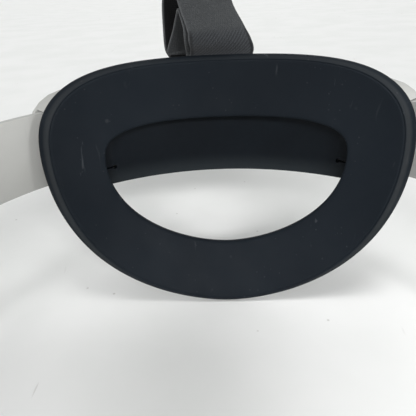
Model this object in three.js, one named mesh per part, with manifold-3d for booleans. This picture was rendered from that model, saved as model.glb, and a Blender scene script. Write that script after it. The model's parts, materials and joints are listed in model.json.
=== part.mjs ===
// A virtual-reality headset: a visor that stands in front of the eyes, two side arms hinged on it, and a rear
// cradle that a dial draws forward along two curved rack bands to grip the back of the head.
//
// Millimetres, +Z up. The wearer looks along -Y, so the visor is at -Y, the cradle at +Y, and +X is the
// wearer's left. Pieces are laid out round the head axis, a vertical line through x = 0, y = 0. The finished
// group is then moved along Y so that the origin is the middle of the footprint, on the surface below.

import * as THREE from "three";
import { mergeVertices } from "three/addons/utils/BufferGeometryUtils.js";
import Module from "manifold-3d";

const wasm = await Module();
wasm.setup();

// ---------------------------------------------------------------- driving dimensions

const GAP = 0.3; // air between touching pieces
const DEGREE = Math.PI / 180;

// Side arms, rack bands and rear housing, all centred on one height.
const ARM_Z = 63;
const BAND_RADIUS = 94; // middle of the band's thickness
const BAND_THICKNESS = 2.4;
const BAND_HEIGHT = 27.4;
const BAND_PLAY = 0.45; // above and below a band in its window
const BAND_FRONT_ANGLE = 97.6 * DEGREE;
const BAND_SHOULDER_ANGLE = 36 * DEGREE; // the band narrows to its rack here
const RACK_TIP_ANGLE = 3 * DEGREE; // how far a rack reaches past the middle
const HOUSING_HEIGHT = 39;
const HOUSING_END_POWER = 2.3; // 2 would make each end a half circle
const COVER_RADIUS = 90; // the face of the inner cover, towards the head
const COVER_THICKNESS = 1.6;
const COVER_HALF_ANGLE = 43 * DEGREE;
const KEYHOLE_ANGLE = 30 * DEGREE;
const KEYHOLE_DROP = 12.4; // below and above the middle height
const SHELL_RADIUS = 99.6;
const SHELL_WALL = 2;
const SHELL_HALF_ANGLE = 47.5 * DEGREE;

// Fit dial and its gears.
const DIAL_Z = ARM_Z;
const DIAL_RADIUS = 20;
const DIAL_FRONT = 102.2;
const DIAL_RECESS = 101; // floor of the dial's recess in the boss
const DIAL_BACK = 111;
const DIAL_RIDGES = 20;
const BOSS_RADIUS = 22.5;
const BOSS_BACK = 105;
const PITCH_RADIUS = 6;
const PINION_TEETH = 12;
const TOOTH_PITCH = (2 * Math.PI * PITCH_RADIUS) / PINION_TEETH;
const ADDENDUM = 0.8;
const DEDENDUM = 1.1;

// Head cradle: a ring cut from a cupped sheet.
const CRADLE_RADIUS = 85;
const CRADLE_THICKNESS = 3;
const CUP_TOP = 84.5; // above this height the cup is upright
const CUP_CURVE = 0.0045; // forward lean, in mm for each mm squared below CUP_TOP
const CRADLE_OUTLINE = { half: 70.9, middle: 64.5, up: 26.9, down: 64.5, upPower: 2.4, downPower: 1.9 };
const STUD = { angle: 18 * DEGREE, z: 77, radius: 3.5 };
const CRADLE_OPENING = { half: 47.9, middle: 57, up: 11.2, down: 36.5, upPower: 3, downPower: 1.85 };

// Visor.
const VISOR_HALF_WIDTH = 88;
const VISOR_HEIGHT = 98;
const VISOR_CORNER = 32;
const VISOR_FRONT = -205;
const SHELL_FRONT = -197; // where the front cover meets the shell
const VISOR_WALL = 2.2;
const FACE_AXIS_Y = 19; // the rim follows a vertical cylinder, as the face does
const FACE_RADIUS = 160;
const EYE_Z = 50;
const EYE_SPACING = 63;
const EYE_TRAVEL = 2.5; // each way, for spacings of 58 to 68
const BARREL_RADIUS = 26;
const SHROUD_PLAY = 0.8; // round the barrels, besides their travel
const SENSOR = { z: 84, radius: 2 };

// Arm pivots.
const PIVOT_Y = -130;
const PIN_RADIUS = 3;
const ARM_INSIDE = 90.5;
const ARM_OUTSIDE = 97.8;
const ARM_END = -4;

// Top strap.
const FRONT_ANCHOR_Y = -150;
const REAR_ANCHOR_Y = 95.5;
const STRAP_WIDTH = 25;
const STRAP_THICKNESS = 2.6; // two layers of webbing, hooked together
const LAYER = 1.2;
const ANCHOR_FLOOR = 2.2; // the anchor's base, under the strap
const ANCHOR_BAR = { up: 5.6, radius: 1.3 };
const ANCHOR_CHEEK = 2.2;
const ANCHOR_CHEEK_RISE = 0.2; // above the bar's middle
const ANCHOR_HALF_DEPTH = 3.6;
const REAR_ANCHOR_INSIDE = 22; // half its opening, wide enough for the strap to lie at a slant
const FRONT_ANCHOR_INSIDE = STRAP_WIDTH / 2 + 0.8;

// ---------------------------------------------------------------- shape helpers

/** A closed three.js geometry as a manifold solid. */
function solid(geometry) {
  const bare = new THREE.BufferGeometry().setAttribute("position", geometry.getAttribute("position"));
  if (geometry.index) bare.setIndex(geometry.index);
  const merged = mergeVertices(bare, 1e-3);
  const made = new wasm.Manifold(
    new wasm.Mesh({
      numProp: 3,
      vertProperties: merged.getAttribute("position").array,
      triVerts: new Uint32Array(merged.index.array),
    }),
  );
  return made;
}

/** A manifold solid as a three.js geometry. */
function geometryOf(shape) {
  const made = shape.getMesh();
  const positions = new Float32Array(made.numVert * 3);
  for (let i = 0; i < made.numVert; i++) {
    positions.set(made.vertProperties.subarray(i * made.numProp, i * made.numProp + 3), i * 3);
  }
  const geometry = new THREE.BufferGeometry();
  geometry.setAttribute("position", new THREE.BufferAttribute(positions, 3));
  geometry.setIndex(new THREE.BufferAttribute(made.triVerts, 1));
  geometry.computeVertexNormals();
  return geometry;
}

const cut = (shape, ...tools) => tools.reduce((left, tool) => left.subtract(tool), shape);
const join = (...shapes) => shapes.reduce((all, shape) => all.add(shape));

/** A point at a radius and an angle from the rear (+Y) towards the wearer's left (+X). */
const polar = (radius, angle, z) =>
  new THREE.Vector3(radius * Math.sin(angle), radius * Math.cos(angle), z);

/** The triangles that close a flat outline. */
function capOf(outline) {
  const normal = new THREE.Vector3();
  outline.forEach((p, i) => {
    const next = outline[(i + 1) % outline.length];
    normal.add(new THREE.Vector3().crossVectors(p, next));
  });
  normal.normalize();
  const across = new THREE.Vector3().subVectors(outline[1], outline[0]).normalize();
  const up = new THREE.Vector3().crossVectors(normal, across);
  const flat = outline.map((p) => new THREE.Vector2(p.dot(across), p.dot(up)));
  return THREE.ShapeUtils.triangulateShape(flat, []);
}

/** A solid through a row of outlines with equal point counts; a closed row makes a ring. */
function loft(outlines, closed = false) {
  const count = outlines[0].length;
  const positions = outlines.flat().flatMap((p) => [p.x, p.y, p.z]);
  const index = [];
  const last = closed ? outlines.length : outlines.length - 1;
  for (let i = 0; i < last; i++) {
    const a = i * count;
    const b = ((i + 1) % outlines.length) * count;
    for (let j = 0; j < count; j++) {
      const k = (j + 1) % count;
      index.push(a + j, b + j, a + k, a + k, b + j, b + k);
    }
  }
  if (!closed) {
    for (const [p, q, r] of capOf(outlines[0])) index.push(p, q, r);
    const a = (outlines.length - 1) * count;
    for (const [p, q, r] of capOf(outlines.at(-1))) index.push(a + p, a + r, a + q);
  }
  const point = (i) => new THREE.Vector3().fromArray(positions, 3 * i);
  let volume = 0;
  for (let i = 0; i < index.length; i += 3) {
    volume += point(index[i]).dot(new THREE.Vector3().crossVectors(point(index[i + 1]), point(index[i + 2])));
  }
  if (volume < 0) index.reverse();
  const geometry = new THREE.BufferGeometry();
  geometry.setAttribute("position", new THREE.Float32BufferAttribute(positions, 3));
  geometry.setIndex(index);
  return solid(geometry);
}

const AXES = {
  x: new THREE.Matrix4().set(0, 0, 1, 0, 1, 0, 0, 0, 0, 1, 0, 0, 0, 0, 0, 1),
  y: new THREE.Matrix4().set(1, 0, 0, 0, 0, 0, -1, 0, 0, 1, 0, 0, 0, 0, 0, 1),
  z: new THREE.Matrix4(),
};

/** A flat outline extruded along an axis; its own x and y are the other two axes, in X, Y, Z order. */
function prism(shape, axis, from, to, curveSegments = 12) {
  const geometry = new THREE.ExtrudeGeometry(shape, { depth: to - from, bevelEnabled: false, curveSegments });
  geometry.applyMatrix4(AXES[axis]);
  const start = { x: [from, 0, 0], y: [0, to, 0], z: [0, 0, from] }[axis];
  geometry.translate(...start);
  return solid(geometry);
}

/** A round bar along an axis, centred on the other two coordinates. */
function bar(axis, from, to, [u, v], radius, sides = 24) {
  const shape = new THREE.Shape();
  for (let i = 0; i < sides; i++) {
    const turn = (2 * Math.PI * (i + 0.5)) / sides;
    const point = [u + radius * Math.cos(turn), v + radius * Math.sin(turn)];
    if (i) shape.lineTo(...point);
    else shape.moveTo(...point);
  }
  return prism(shape, axis, from, to);
}

/** A box between two corners. */
function block([x0, y0, z0], [x1, y1, z1]) {
  const geometry = new THREE.BoxGeometry(x1 - x0, y1 - y0, z1 - z0);
  geometry.translate((x0 + x1) / 2, (y0 + y1) / 2, (z0 + z1) / 2);
  return solid(geometry);
}

/** A rounded rectangle as a Shape. */
function pill(centreU, centreV, width, height, radius = Math.min(width, height) / 2) {
  const [u0, u1] = [centreU - width / 2, centreU + width / 2];
  const [v0, v1] = [centreV - height / 2, centreV + height / 2];
  const r = Math.min(radius, width / 2 - 0.01, height / 2 - 0.01);
  const shape = new THREE.Shape();
  shape.moveTo(u0 + r, v0);
  shape.lineTo(u1 - r, v0);
  shape.absarc(u1 - r, v0 + r, r, -Math.PI / 2, 0);
  shape.lineTo(u1, v1 - r);
  shape.absarc(u1 - r, v1 - r, r, 0, Math.PI / 2);
  shape.lineTo(u0 + r, v1);
  shape.absarc(u0 + r, v1 - r, r, Math.PI / 2, Math.PI);
  shape.lineTo(u0, v0 + r);
  shape.absarc(u0 + r, v0 + r, r, Math.PI, 1.5 * Math.PI);
  return shape;
}

const even = (share) => share;
const crowdedAtEnds = (share) => (1 - Math.cos(Math.PI * share)) / 2;

/** A wall curved round the head axis, between two radii and two angles; its height may vary. */
function curvedWall(inner, outer, from, to, heightAt, steps, spacing = even) {
  const outlines = [];
  for (let i = 0; i <= steps; i++) {
    const angle = from + (to - from) * spacing(i / steps);
    const [low, high] = heightAt(angle);
    outlines.push([
      polar(inner, angle, low),
      polar(outer, angle, low),
      polar(outer, angle, high),
      polar(inner, angle, high),
    ]);
  }
  return loft(outlines);
}

/** A cylinder that points away from the head axis, between two radii. */
function radialBar(angle, z, from, to, radius, sides = 10) {
  const outline = (distance) =>
    Array.from({ length: sides }, (_, i) => {
      const turn = (2 * Math.PI * i) / sides;
      const along = radius * Math.cos(turn);
      return new THREE.Vector3(
        distance * Math.sin(angle) + along * Math.cos(angle),
        distance * Math.cos(angle) - along * Math.sin(angle),
        z + radius * Math.sin(turn),
      );
    });
  return loft([outline(from), outline(to)]);
}

/** The same solid on the other side of the head. */
const mirrored = (shape) => shape.mirror([1, 0, 0]);
const onSide = (shape, side) => (side > 0 ? shape : mirrored(shape));

// ---------------------------------------------------------------- materials and the parts list

const materials = {
  light: new THREE.MeshStandardMaterial({ color: 0xc9cac5, roughness: 0.55 }),
  dark: new THREE.MeshStandardMaterial({ color: 0x222529, roughness: 0.6 }),
  rubber: new THREE.MeshStandardMaterial({ color: 0x23272a, roughness: 0.7 }),
  foam: new THREE.MeshStandardMaterial({ color: 0x2b2d30, roughness: 0.95 }),
  webbing: new THREE.MeshStandardMaterial({ color: 0x484b4e, roughness: 0.9 }),
  glass: new THREE.MeshStandardMaterial({ color: 0x0c0d10, roughness: 0.08 }),
  optics: new THREE.MeshStandardMaterial({
    color: 0xaab4bb,
    roughness: 0.05,
    transparent: true,
    opacity: 0.5,
  }),
  steel: new THREE.MeshStandardMaterial({ color: 0xa8a9ab, roughness: 0.35, metalness: 1 }),
  alloy: new THREE.MeshStandardMaterial({ color: 0x8d9092, roughness: 0.45, metalness: 1 }),
  board: new THREE.MeshStandardMaterial({ color: 0x1f4a34, roughness: 0.6 }),
  cell: new THREE.MeshStandardMaterial({ color: 0x34363a, roughness: 0.5 }),
};

const headset = new THREE.Group();

function add(name, material, shape) {
  const mesh = new THREE.Mesh(geometryOf(shape), materials[material]);
  mesh.name = name;
  headset.add(mesh);
}

const SIDES = [
  ["left", 1],
  ["right", -1],
];

// ---------------------------------------------------------------- head cradle

/** A point on the cup, from its distance round the cradle, its height, and its depth behind the face. */
function cupPoint(along, z, depth) {
  const angle = along / CRADLE_RADIUS;
  const lean = CUP_CURVE * Math.max(0, CUP_TOP - z) ** 2;
  const point = polar(CRADLE_RADIUS + depth, angle, z);
  point.y -= lean;
  return point;
}

/** A point on an outline that is a flat arch above its widest line and a rounded bowl below it. */
function archAndBowl(outline, turn) {
  const [c, s] = [Math.cos(turn), Math.sin(turn)];
  const sidePower = s > 0 ? 4 : outline.downPower;
  const tallPower = s > 0 ? outline.upPower : outline.downPower;
  const reach = s > 0 ? outline.up : outline.down;
  return [
    outline.half * Math.sign(c) * Math.abs(c) ** (2 / sidePower),
    outline.middle + reach * Math.sign(s) * Math.abs(s) ** (2 / tallPower),
  ];
}

/** Cross-section of the ring: share of the way from the opening's edge to the outer edge, and depth. */
const CRADLE_SECTION = [
  [0, 0.7],
  [0.03, 0],
  [0.85, 0],
  [0.95, 0.9],
  [1, 3],
  [0.98, 4.5],
  [0.88, CRADLE_THICKNESS],
  [0.02, CRADLE_THICKNESS],
];

function cradleRing(stations = 64) {
  const outlines = [];
  for (let i = 0; i < stations; i++) {
    const turn = (2 * Math.PI * i) / stations;
    const [innerU, innerZ] = archAndBowl(CRADLE_OPENING, turn);
    const [outerU, outerZ] = archAndBowl(CRADLE_OUTLINE, turn);
    outlines.push(
      CRADLE_SECTION.map(([share, depth]) =>
        cupPoint(innerU + (outerU - innerU) * share, innerZ + (outerZ - innerZ) * share, depth),
      ),
    );
  }
  return loft(outlines, true);
}

function buildCradle() {
  add("head_cradle", "rubber", cradleRing());
  const backOfRing = CRADLE_RADIUS + CRADLE_THICKNESS + GAP;
  for (const [side, sign] of SIDES) {
    const stud = radialBar(sign * STUD.angle, STUD.z, backOfRing, COVER_RADIUS - GAP, STUD.radius, 16);
    add(`cradle_stud_${side}`, "dark", stud);
  }
}

// ---------------------------------------------------------------- rear housing

/** Half the housing's height at an angle: level, with rounded ends. */
function housingHalfHeight(angle, radius, inset = 0) {
  const half = HOUSING_HEIGHT / 2 - inset;
  const reach = SHELL_HALF_ANGLE * SHELL_RADIUS - inset;
  const past = Math.min(Math.max(0, Math.abs(angle) * radius - (reach - half)), half);
  const share = (1 - (past / half) ** HOUSING_END_POWER) ** (1 / HOUSING_END_POWER);
  return Math.max(half * share, 1);
}

const SCREW_RISE = 16.2; // above and below the middle height
const SCREW_PLACES = [
  [29, ARM_Z + SCREW_RISE],
  [-29, ARM_Z + SCREW_RISE],
  [39, ARM_Z - SCREW_RISE],
  [-39, ARM_Z - SCREW_RISE],
];
const CAVITY_ANGLE = 41 * DEGREE; // the ends beyond this are solid, apart from the bands' windows

/** An anchor for the top strap: two cheeks and a cross bar on a base. */
function strapAnchor(y, z, inside) {
  const half = inside + ANCHOR_CHEEK;
  const top = z + ANCHOR_BAR.up + ANCHOR_CHEEK_RISE;
  const outer = block([-half, y - ANCHOR_HALF_DEPTH, z], [half, y + ANCHOR_HALF_DEPTH, top]);
  const window = block([-inside, y - 5, z + ANCHOR_FLOOR], [inside, y + 5, top + 1]);
  return join(cut(outer, window), bar("x", -half, half, [y, z + ANCHOR_BAR.up], ANCHOR_BAR.radius, 12));
}

function buildRearHousing() {
  const steps = 30;
  const reach = SHELL_HALF_ANGLE;
  const outline = (inset) => (angle) => {
    const half = housingHalfHeight(angle, SHELL_RADIUS, inset);
    return [ARM_Z - half, ARM_Z + half];
  };
  const windowHalf = BAND_HEIGHT / 2 + BAND_PLAY;
  const bandWindow = () => [ARM_Z - windowHalf, ARM_Z + windowHalf];
  const front = COVER_RADIUS + COVER_THICKNESS + GAP;
  const body = curvedWall(front, SHELL_RADIUS, -reach, reach, outline(0), steps, crowdedAtEnds);
  const inside = SHELL_RADIUS - SHELL_WALL;
  const cavity = curvedWall(80, inside, -CAVITY_ANGLE, CAVITY_ANGLE, outline(SHELL_WALL), 26);
  const ends = [1, -1].map((sign) =>
    curvedWall(80, inside, sign * 30 * DEGREE, sign * 60 * DEGREE, bandWindow, 10),
  );
  const housingTop = ARM_Z + HOUSING_HEIGHT / 2;
  const boss = cut(
    bar("y", 90, BOSS_BACK, [0, DIAL_Z], BOSS_RADIUS, 36),
    block([-30, 80, housingTop], [30, 120, housingTop + 20]),
    bar("z", 0, 120, [0, 0], inside, 120),
    bar("y", DIAL_RECESS, BOSS_BACK + 1, [0, DIAL_Z], DIAL_RADIUS + 0.6, 36),
    bar("y", 90, BOSS_BACK + 1, [0, DIAL_Z], 3.6, 20),
  );
  const shaftHole = bar("y", 90, BOSS_BACK + 1, [0, DIAL_Z], 3.6, 20);
  const posts = SCREW_PLACES.map(([angle, z]) => radialBar(angle * DEGREE, z, 92.4, inside + 1, 1.9, 10));
  const pilots = SCREW_PLACES.map(([angle, z]) => radialBar(angle * DEGREE, z, 80, 96, 1, 8));
  const hollow = cut(body, cavity, ...ends);
  add("rear_outer_shell", "light", cut(join(hollow, boss, ...posts), shaftHole, ...pilots));
  add("rear_strap_anchor", "dark", strapAnchor(REAR_ANCHOR_Y, housingTop + GAP, REAR_ANCHOR_INSIDE));

  const plate = curvedWall(
    COVER_RADIUS,
    COVER_RADIUS + COVER_THICKNESS,
    -COVER_HALF_ANGLE,
    COVER_HALF_ANGLE,
    outline(0),
    28,
  );
  const slits = [];
  for (const sign of [1, -1]) {
    for (const z of [ARM_Z - KEYHOLE_DROP, ARM_Z + KEYHOLE_DROP]) {
      const slit = () => [z - 0.4, z + 0.4];
      slits.push(curvedWall(88, 93, sign * KEYHOLE_ANGLE, sign * 45 * DEGREE, slit, 4));
      slits.push(radialBar(sign * KEYHOLE_ANGLE, z, 88, 93, 0.9, 10));
    }
  }
  const holes = SCREW_PLACES.map(([angle, z]) => radialBar(angle * DEGREE, z, 88, 93, 1.3, 8));
  add("rear_inner_cover", "dark", cut(plate, ...slits, ...holes));

  SCREW_PLACES.forEach(([angle, z], i) => {
    const shank = radialBar(angle * DEGREE, z, 88.6, 95, 0.7, 8);
    const head = radialBar(angle * DEGREE, z, 88.4, COVER_RADIUS - GAP, 2.1, 12);
    add(`cover_screw_${i + 1}`, "steel", join(shank, head));
  });
}

// ---------------------------------------------------------------- rack bands, pinion and dial

/** A trapezoid tooth on a rack, centred at an angle, pointing up or down from the pitch line. */
function rackTooth(angle, pitchZ, towards) {
  const rootZ = pitchZ - towards * (DEDENDUM + 0.3);
  const tipZ = pitchZ + towards * ADDENDUM;
  const outlineAt = (radius) =>
    [
      [-1.05, rootZ],
      [1.05, rootZ],
      [0.38, tipZ],
      [-0.38, tipZ],
    ].map(([along, z]) => polar(radius, angle + along / BAND_RADIUS, z));
  const [inner, outer] = [BAND_RADIUS - BAND_THICKNESS / 2, BAND_RADIUS + BAND_THICKNESS / 2];
  return loft([outlineAt(inner), outlineAt(outer)]);
}

/** One band. Its rack runs above the pinion on the left side and below it on the right. */
function rackBand(sign) {
  const inner = BAND_RADIUS - BAND_THICKNESS / 2;
  const outer = BAND_RADIUS + BAND_THICKNESS / 2;
  const above = sign > 0;
  const pitchZ = DIAL_Z + (above ? PITCH_RADIUS : -PITCH_RADIUS);
  const towards = above ? -1 : 1;
  const rootZ = pitchZ - towards * DEDENDUM;
  const farZ = rootZ - 6 * towards;
  const fullHeight = () => [ARM_Z - BAND_HEIGHT / 2, ARM_Z + BAND_HEIGHT / 2];
  const rackHeight = () => [Math.min(rootZ, farZ), Math.max(rootZ, farZ)];
  const strap = curvedWall(inner, outer, sign * BAND_SHOULDER_ANGLE, sign * BAND_FRONT_ANGLE, fullHeight, 18);
  const rackEnd = sign * (BAND_SHOULDER_ANGLE + 0.02);
  const rack = curvedWall(inner, outer, -sign * RACK_TIP_ANGLE, rackEnd, rackHeight, 14);
  const first = Math.ceil((-RACK_TIP_ANGLE * BAND_RADIUS) / TOOTH_PITCH);
  const last = Math.floor((19 * DEGREE * BAND_RADIUS) / TOOTH_PITCH);
  const teeth = [];
  for (let i = first; i < last; i++) {
    teeth.push(rackTooth((sign * (i + 0.5) * TOOTH_PITCH) / BAND_RADIUS, pitchZ, towards));
  }
  return join(strap, rack, ...teeth);
}

/** The pinion on its shaft: a gear that lies between the two racks. */
function pinion() {
  const shape = new THREE.Shape();
  const [root, tip] = [PITCH_RADIUS - DEDENDUM, PITCH_RADIUS + ADDENDUM];
  for (let i = 0; i < PINION_TEETH; i++) {
    const middle = Math.PI / 2 + (2 * Math.PI * i) / PINION_TEETH;
    const corners = [
      [root, -0.2],
      [PITCH_RADIUS, -0.105],
      [tip, -0.05],
      [tip, 0.05],
      [PITCH_RADIUS, 0.105],
      [root, 0.2],
    ];
    corners.forEach(([radius, turn], j) => {
      const point = [radius * Math.cos(middle + turn), DIAL_Z + radius * Math.sin(middle + turn)];
      if (i || j) shape.lineTo(...point);
      else shape.moveTo(...point);
    });
  }
  const gear = prism(shape, "y", COVER_RADIUS + COVER_THICKNESS + GAP, 96.4);
  return join(gear, bar("y", 96, 106, [0, DIAL_Z], 3, 16));
}

/** The dial's ridged rim. */
function dialKnob() {
  const rim = (radius) => {
    const shape = new THREE.Shape();
    const steps = 4 * DIAL_RIDGES;
    for (let i = 0; i < steps; i++) {
      const turn = (2 * Math.PI * i) / steps;
      const r = radius - 0.55 * (1 - Math.cos(DIAL_RIDGES * turn));
      const point = [r * Math.cos(turn), DIAL_Z + r * Math.sin(turn)];
      if (i) shape.lineTo(...point);
      else shape.moveTo(...point);
    }
    return shape;
  };
  return cut(
    join(
      prism(rim(DIAL_RADIUS), "y", DIAL_FRONT, DIAL_BACK - 1.5),
      bar("y", DIAL_BACK - 2, DIAL_BACK, [0, DIAL_Z], DIAL_RADIUS - 2.4, 40),
    ),
    bar("y", DIAL_BACK - 1.8, DIAL_BACK + 1, [0, DIAL_Z], 13.3, 32),
    bar("y", DIAL_FRONT - 1, 106 + GAP, [0, DIAL_Z], PIN_RADIUS + GAP, 16),
    bar("y", 105, DIAL_BACK + 1, [0, DIAL_Z], 1.6, 12),
  );
}

function buildFitDrive() {
  for (const [side, sign] of SIDES) add(`rack_band_${side}`, "light", rackBand(sign));
  add("fit_pinion", "steel", pinion());
  add("fit_dial", "light", dialKnob());
  const cap = bar("y", DIAL_BACK - 0.6, DIAL_BACK + 0.8, [0, DIAL_Z], 13, 32);
  add("dial_cap", "dark", cap);
  const shank = bar("y", 106.4, DIAL_BACK - 1.2, [0, DIAL_Z], 1.2, 10);
  const head = bar("y", DIAL_BACK - 1.5, DIAL_BACK - 0.9, [0, DIAL_Z], 2.6, 12);
  add("dial_screw", "steel", join(shank, head));
  const leaf = new THREE.Shape();
  leaf.absarc(0, DIAL_Z, 15, 0.2 * Math.PI, 0.8 * Math.PI);
  leaf.absarc(0, DIAL_Z, 11.5, 0.8 * Math.PI, 0.2 * Math.PI, true);
  add("detent_spring", "steel", prism(leaf, "y", DIAL_RECESS + GAP, DIAL_FRONT - GAP, 5));
}

// ---------------------------------------------------------------- side arms

/** The arm seen from the side: a round end at the pivot, a waist, and a taller end that takes the band. */
function armOutline(inset = 0) {
  const front = 17 - inset;
  const waist = 12.5 - inset;
  const tail = 16 - inset;
  const end = ARM_END - inset;
  const shape = new THREE.Shape();
  shape.moveTo(PIVOT_Y, ARM_Z - front);
  shape.bezierCurveTo(PIVOT_Y + 22, ARM_Z - front, -105, ARM_Z - waist, -80, ARM_Z - waist);
  shape.bezierCurveTo(-55, ARM_Z - waist, -45, ARM_Z - tail, end - 14, ARM_Z - tail);
  shape.lineTo(end - 5, ARM_Z - tail);
  shape.absarc(end - 5, ARM_Z - tail + 5, 5, -Math.PI / 2, 0);
  shape.lineTo(end, ARM_Z + tail - 5);
  shape.absarc(end - 5, ARM_Z + tail - 5, 5, 0, Math.PI / 2);
  shape.lineTo(end - 14, ARM_Z + tail);
  shape.bezierCurveTo(-45, ARM_Z + tail, -55, ARM_Z + waist, -80, ARM_Z + waist);
  shape.bezierCurveTo(-105, ARM_Z + waist, PIVOT_Y + 22, ARM_Z + front, PIVOT_Y, ARM_Z + front);
  shape.absarc(PIVOT_Y, ARM_Z, front, Math.PI / 2, 1.5 * Math.PI);
  return shape;
}

const SPEAKER_FROM = -102;
const SPEAKER_TO = -44;

function buildSideArms() {
  for (const [side, sign] of SIDES) {
    const recess = pill((SPEAKER_FROM + SPEAKER_TO) / 2, ARM_Z, SPEAKER_TO - SPEAKER_FROM, 19, 5);
    const bandPocket = block(
      [80, -20, ARM_Z - BAND_HEIGHT / 2 - 0.5],
      [BAND_RADIUS + BAND_THICKNESS / 2 + 0.6, 10, ARM_Z + BAND_HEIGHT / 2 + 0.5],
    );
    const arm = cut(
      prism(armOutline(), "x", ARM_INSIDE, ARM_OUTSIDE, 8),
      prism(recess, "x", 80, ARM_OUTSIDE - 1.6, 4),
      bandPocket,
      bar("x", 80, 110, [PIVOT_Y, ARM_Z], PIN_RADIUS + GAP, 20),
      bar("x", ARM_OUTSIDE - 1.8, 110, [PIVOT_Y, ARM_Z], 6.3, 24),
    );
    add(`side_arm_${side}`, "light", onSide(arm, sign));

    const slots = Array.from({ length: 9 }, (_, i) =>
      block([80, -98.6 + 3 * i, ARM_Z - 4.5], [110, -97.4 + 3 * i, ARM_Z + 4.5]),
    );
    const cover = prism(
      pill((SPEAKER_FROM + SPEAKER_TO) / 2, ARM_Z, SPEAKER_TO - SPEAKER_FROM - 0.6, 18.4, 4.7),
      "x",
      ARM_INSIDE,
      ARM_INSIDE + 1.2,
      4,
    );
    add(`arm_cover_${side}`, "light", onSide(cut(cover, ...slots), sign));

    const driver = prism(pill(-86, ARM_Z, 28, 14, 4), "x", ARM_INSIDE + 1.5, ARM_OUTSIDE - 2, 4);
    add(`speaker_${side}`, "cell", onSide(driver, sign));

    const shank = bar("x", 84.6, ARM_OUTSIDE - 0.6, [PIVOT_Y, ARM_Z], PIN_RADIUS, 20);
    const cap = bar("x", ARM_OUTSIDE - 1.5, ARM_OUTSIDE + 0.4, [PIVOT_Y, ARM_Z], 6, 24);
    const clip = bar("x", 83.2, 85.2, [PIVOT_Y, ARM_Z], 5, 20);
    add(`pivot_pin_${side}`, "steel", onSide(join(shank, cap, clip), sign));
  }
}

// ---------------------------------------------------------------- top strap

/** The strap's middle line seen from the side, from the visor's anchor over to the cradle's anchor. */
const STRAP_LINE = new THREE.CatmullRomCurve3(
  [
    [-150, 106],
    [-140, 119],
    [-115, 138],
    [-75, 157],
    [-30, 168],
    [15, 170],
    [55, 159],
    [80, 137],
    [90, 117],
  ].map(([y, z]) => new THREE.Vector3(0, y, z)),
);

/** A length of the strap, between two shares of its line. */
function strapLength(from, to, steps) {
  const shape = new THREE.Shape();
  const sideOf = (share, offset) => {
    const point = STRAP_LINE.getPointAt(share);
    const along = STRAP_LINE.getTangentAt(share);
    return [point.y - along.z * offset, point.z + along.y * offset];
  };
  const shares = Array.from({ length: steps + 1 }, (_, i) => from + ((to - from) * i) / steps);
  const points = [
    ...shares.map((share) => sideOf(share, -STRAP_THICKNESS / 2)),
    ...shares.reverse().map((share) => sideOf(share, STRAP_THICKNESS / 2)),
  ];
  points.forEach((point, i) => (i ? shape.lineTo(...point) : shape.moveTo(...point)));
  return prism(shape, "x", -STRAP_WIDTH / 2, STRAP_WIDTH / 2);
}

/** A closed loop of one layer through a row of points seen from the side. */
function strapLoop(points, stations = 30) {
  const middle = new THREE.CatmullRomCurve3(
    points.map(([y, z]) => new THREE.Vector3(0, y, z)),
    true,
  );
  const corners = [
    [-1, -1],
    [1, -1],
    [1, 1],
    [-1, 1],
  ];
  const outlines = Array.from({ length: stations }, (_, i) => {
    const point = middle.getPointAt(i / stations);
    const along = middle.getTangentAt(i / stations);
    const outward = new THREE.Vector3(0, along.z, -along.y);
    return corners.map(([u, v]) => {
      const corner = point.clone().addScaledVector(outward, (v * LAYER) / 2);
      corner.x = (u * STRAP_WIDTH) / 2;
      return corner;
    });
  });
  return loft(outlines, true);
}

const REAR_LOOP = [
  [95.5, 86.05],
  [92.4, 87.7],
  [91, 91.5],
  [90, 99],
  [89.8, 107],
  [90.5, 113],
  [94.5, 113],
  [100.5, 105],
  [101.5, 97],
  [99, 88.5],
];
const FRONT_LOOP = [
  [-150, 101.55],
  [-146.6, 103.3],
  [-143, 109.5],
  [-137.5, 117.5],
  [-140, 120.3],
  [-147.5, 115.5],
  [-153.6, 109],
  [-153.4, 103.4],
];

function buildTopStrap() {
  add("top_strap_rear", "webbing", strapLoop(REAR_LOOP));
  add("top_strap_front", "webbing", strapLoop(FRONT_LOOP));
  add("top_strap", "webbing", strapLength(0.13, 0.9, 30));
}

// ---------------------------------------------------------------- visor

/** The visor's rounded rectangle seen from the front, drawn in by an inset. */
function visorOutline(inset) {
  const corner = Math.max(VISOR_CORNER - inset, 2);
  return pill(0, VISOR_HEIGHT / 2, 2 * (VISOR_HALF_WIDTH - inset), VISOR_HEIGHT - 2 * inset, corner);
}

const CORNER_POINTS = 13;

/** The same outline as points at one y. */
function visorSection(y, inset) {
  const corner = Math.max(VISOR_CORNER - inset, 2);
  const acrossTo = VISOR_HALF_WIDTH - inset - corner;
  const upTo = VISOR_HEIGHT / 2 - inset - corner;
  const points = [];
  for (let i = 0; i < 4 * CORNER_POINTS; i++) {
    const quarter = Math.floor(i / CORNER_POINTS);
    const turn = ((quarter + (i % CORNER_POINTS) / (CORNER_POINTS - 1)) * Math.PI) / 2;
    const [right, above] = [quarter === 0 || quarter === 3, quarter < 2];
    const x = (right ? acrossTo : -acrossTo) + corner * Math.cos(turn);
    const z = VISOR_HEIGHT / 2 + (above ? upTo : -upTo) + corner * Math.sin(turn);
    points.push(new THREE.Vector3(x, y, z));
  }
  return points;
}

/** A solid with the visor's outline, through pairs of a y and an inset. */
const visorLoft = (stations) => loft(stations.map(([y, inset]) => visorSection(y, inset)));

/** Where the rim of the visor lies, for a distance from the middle. */
const rimY = (x) => FACE_AXIS_Y - Math.sqrt(FACE_RADIUS ** 2 - x ** 2);

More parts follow.
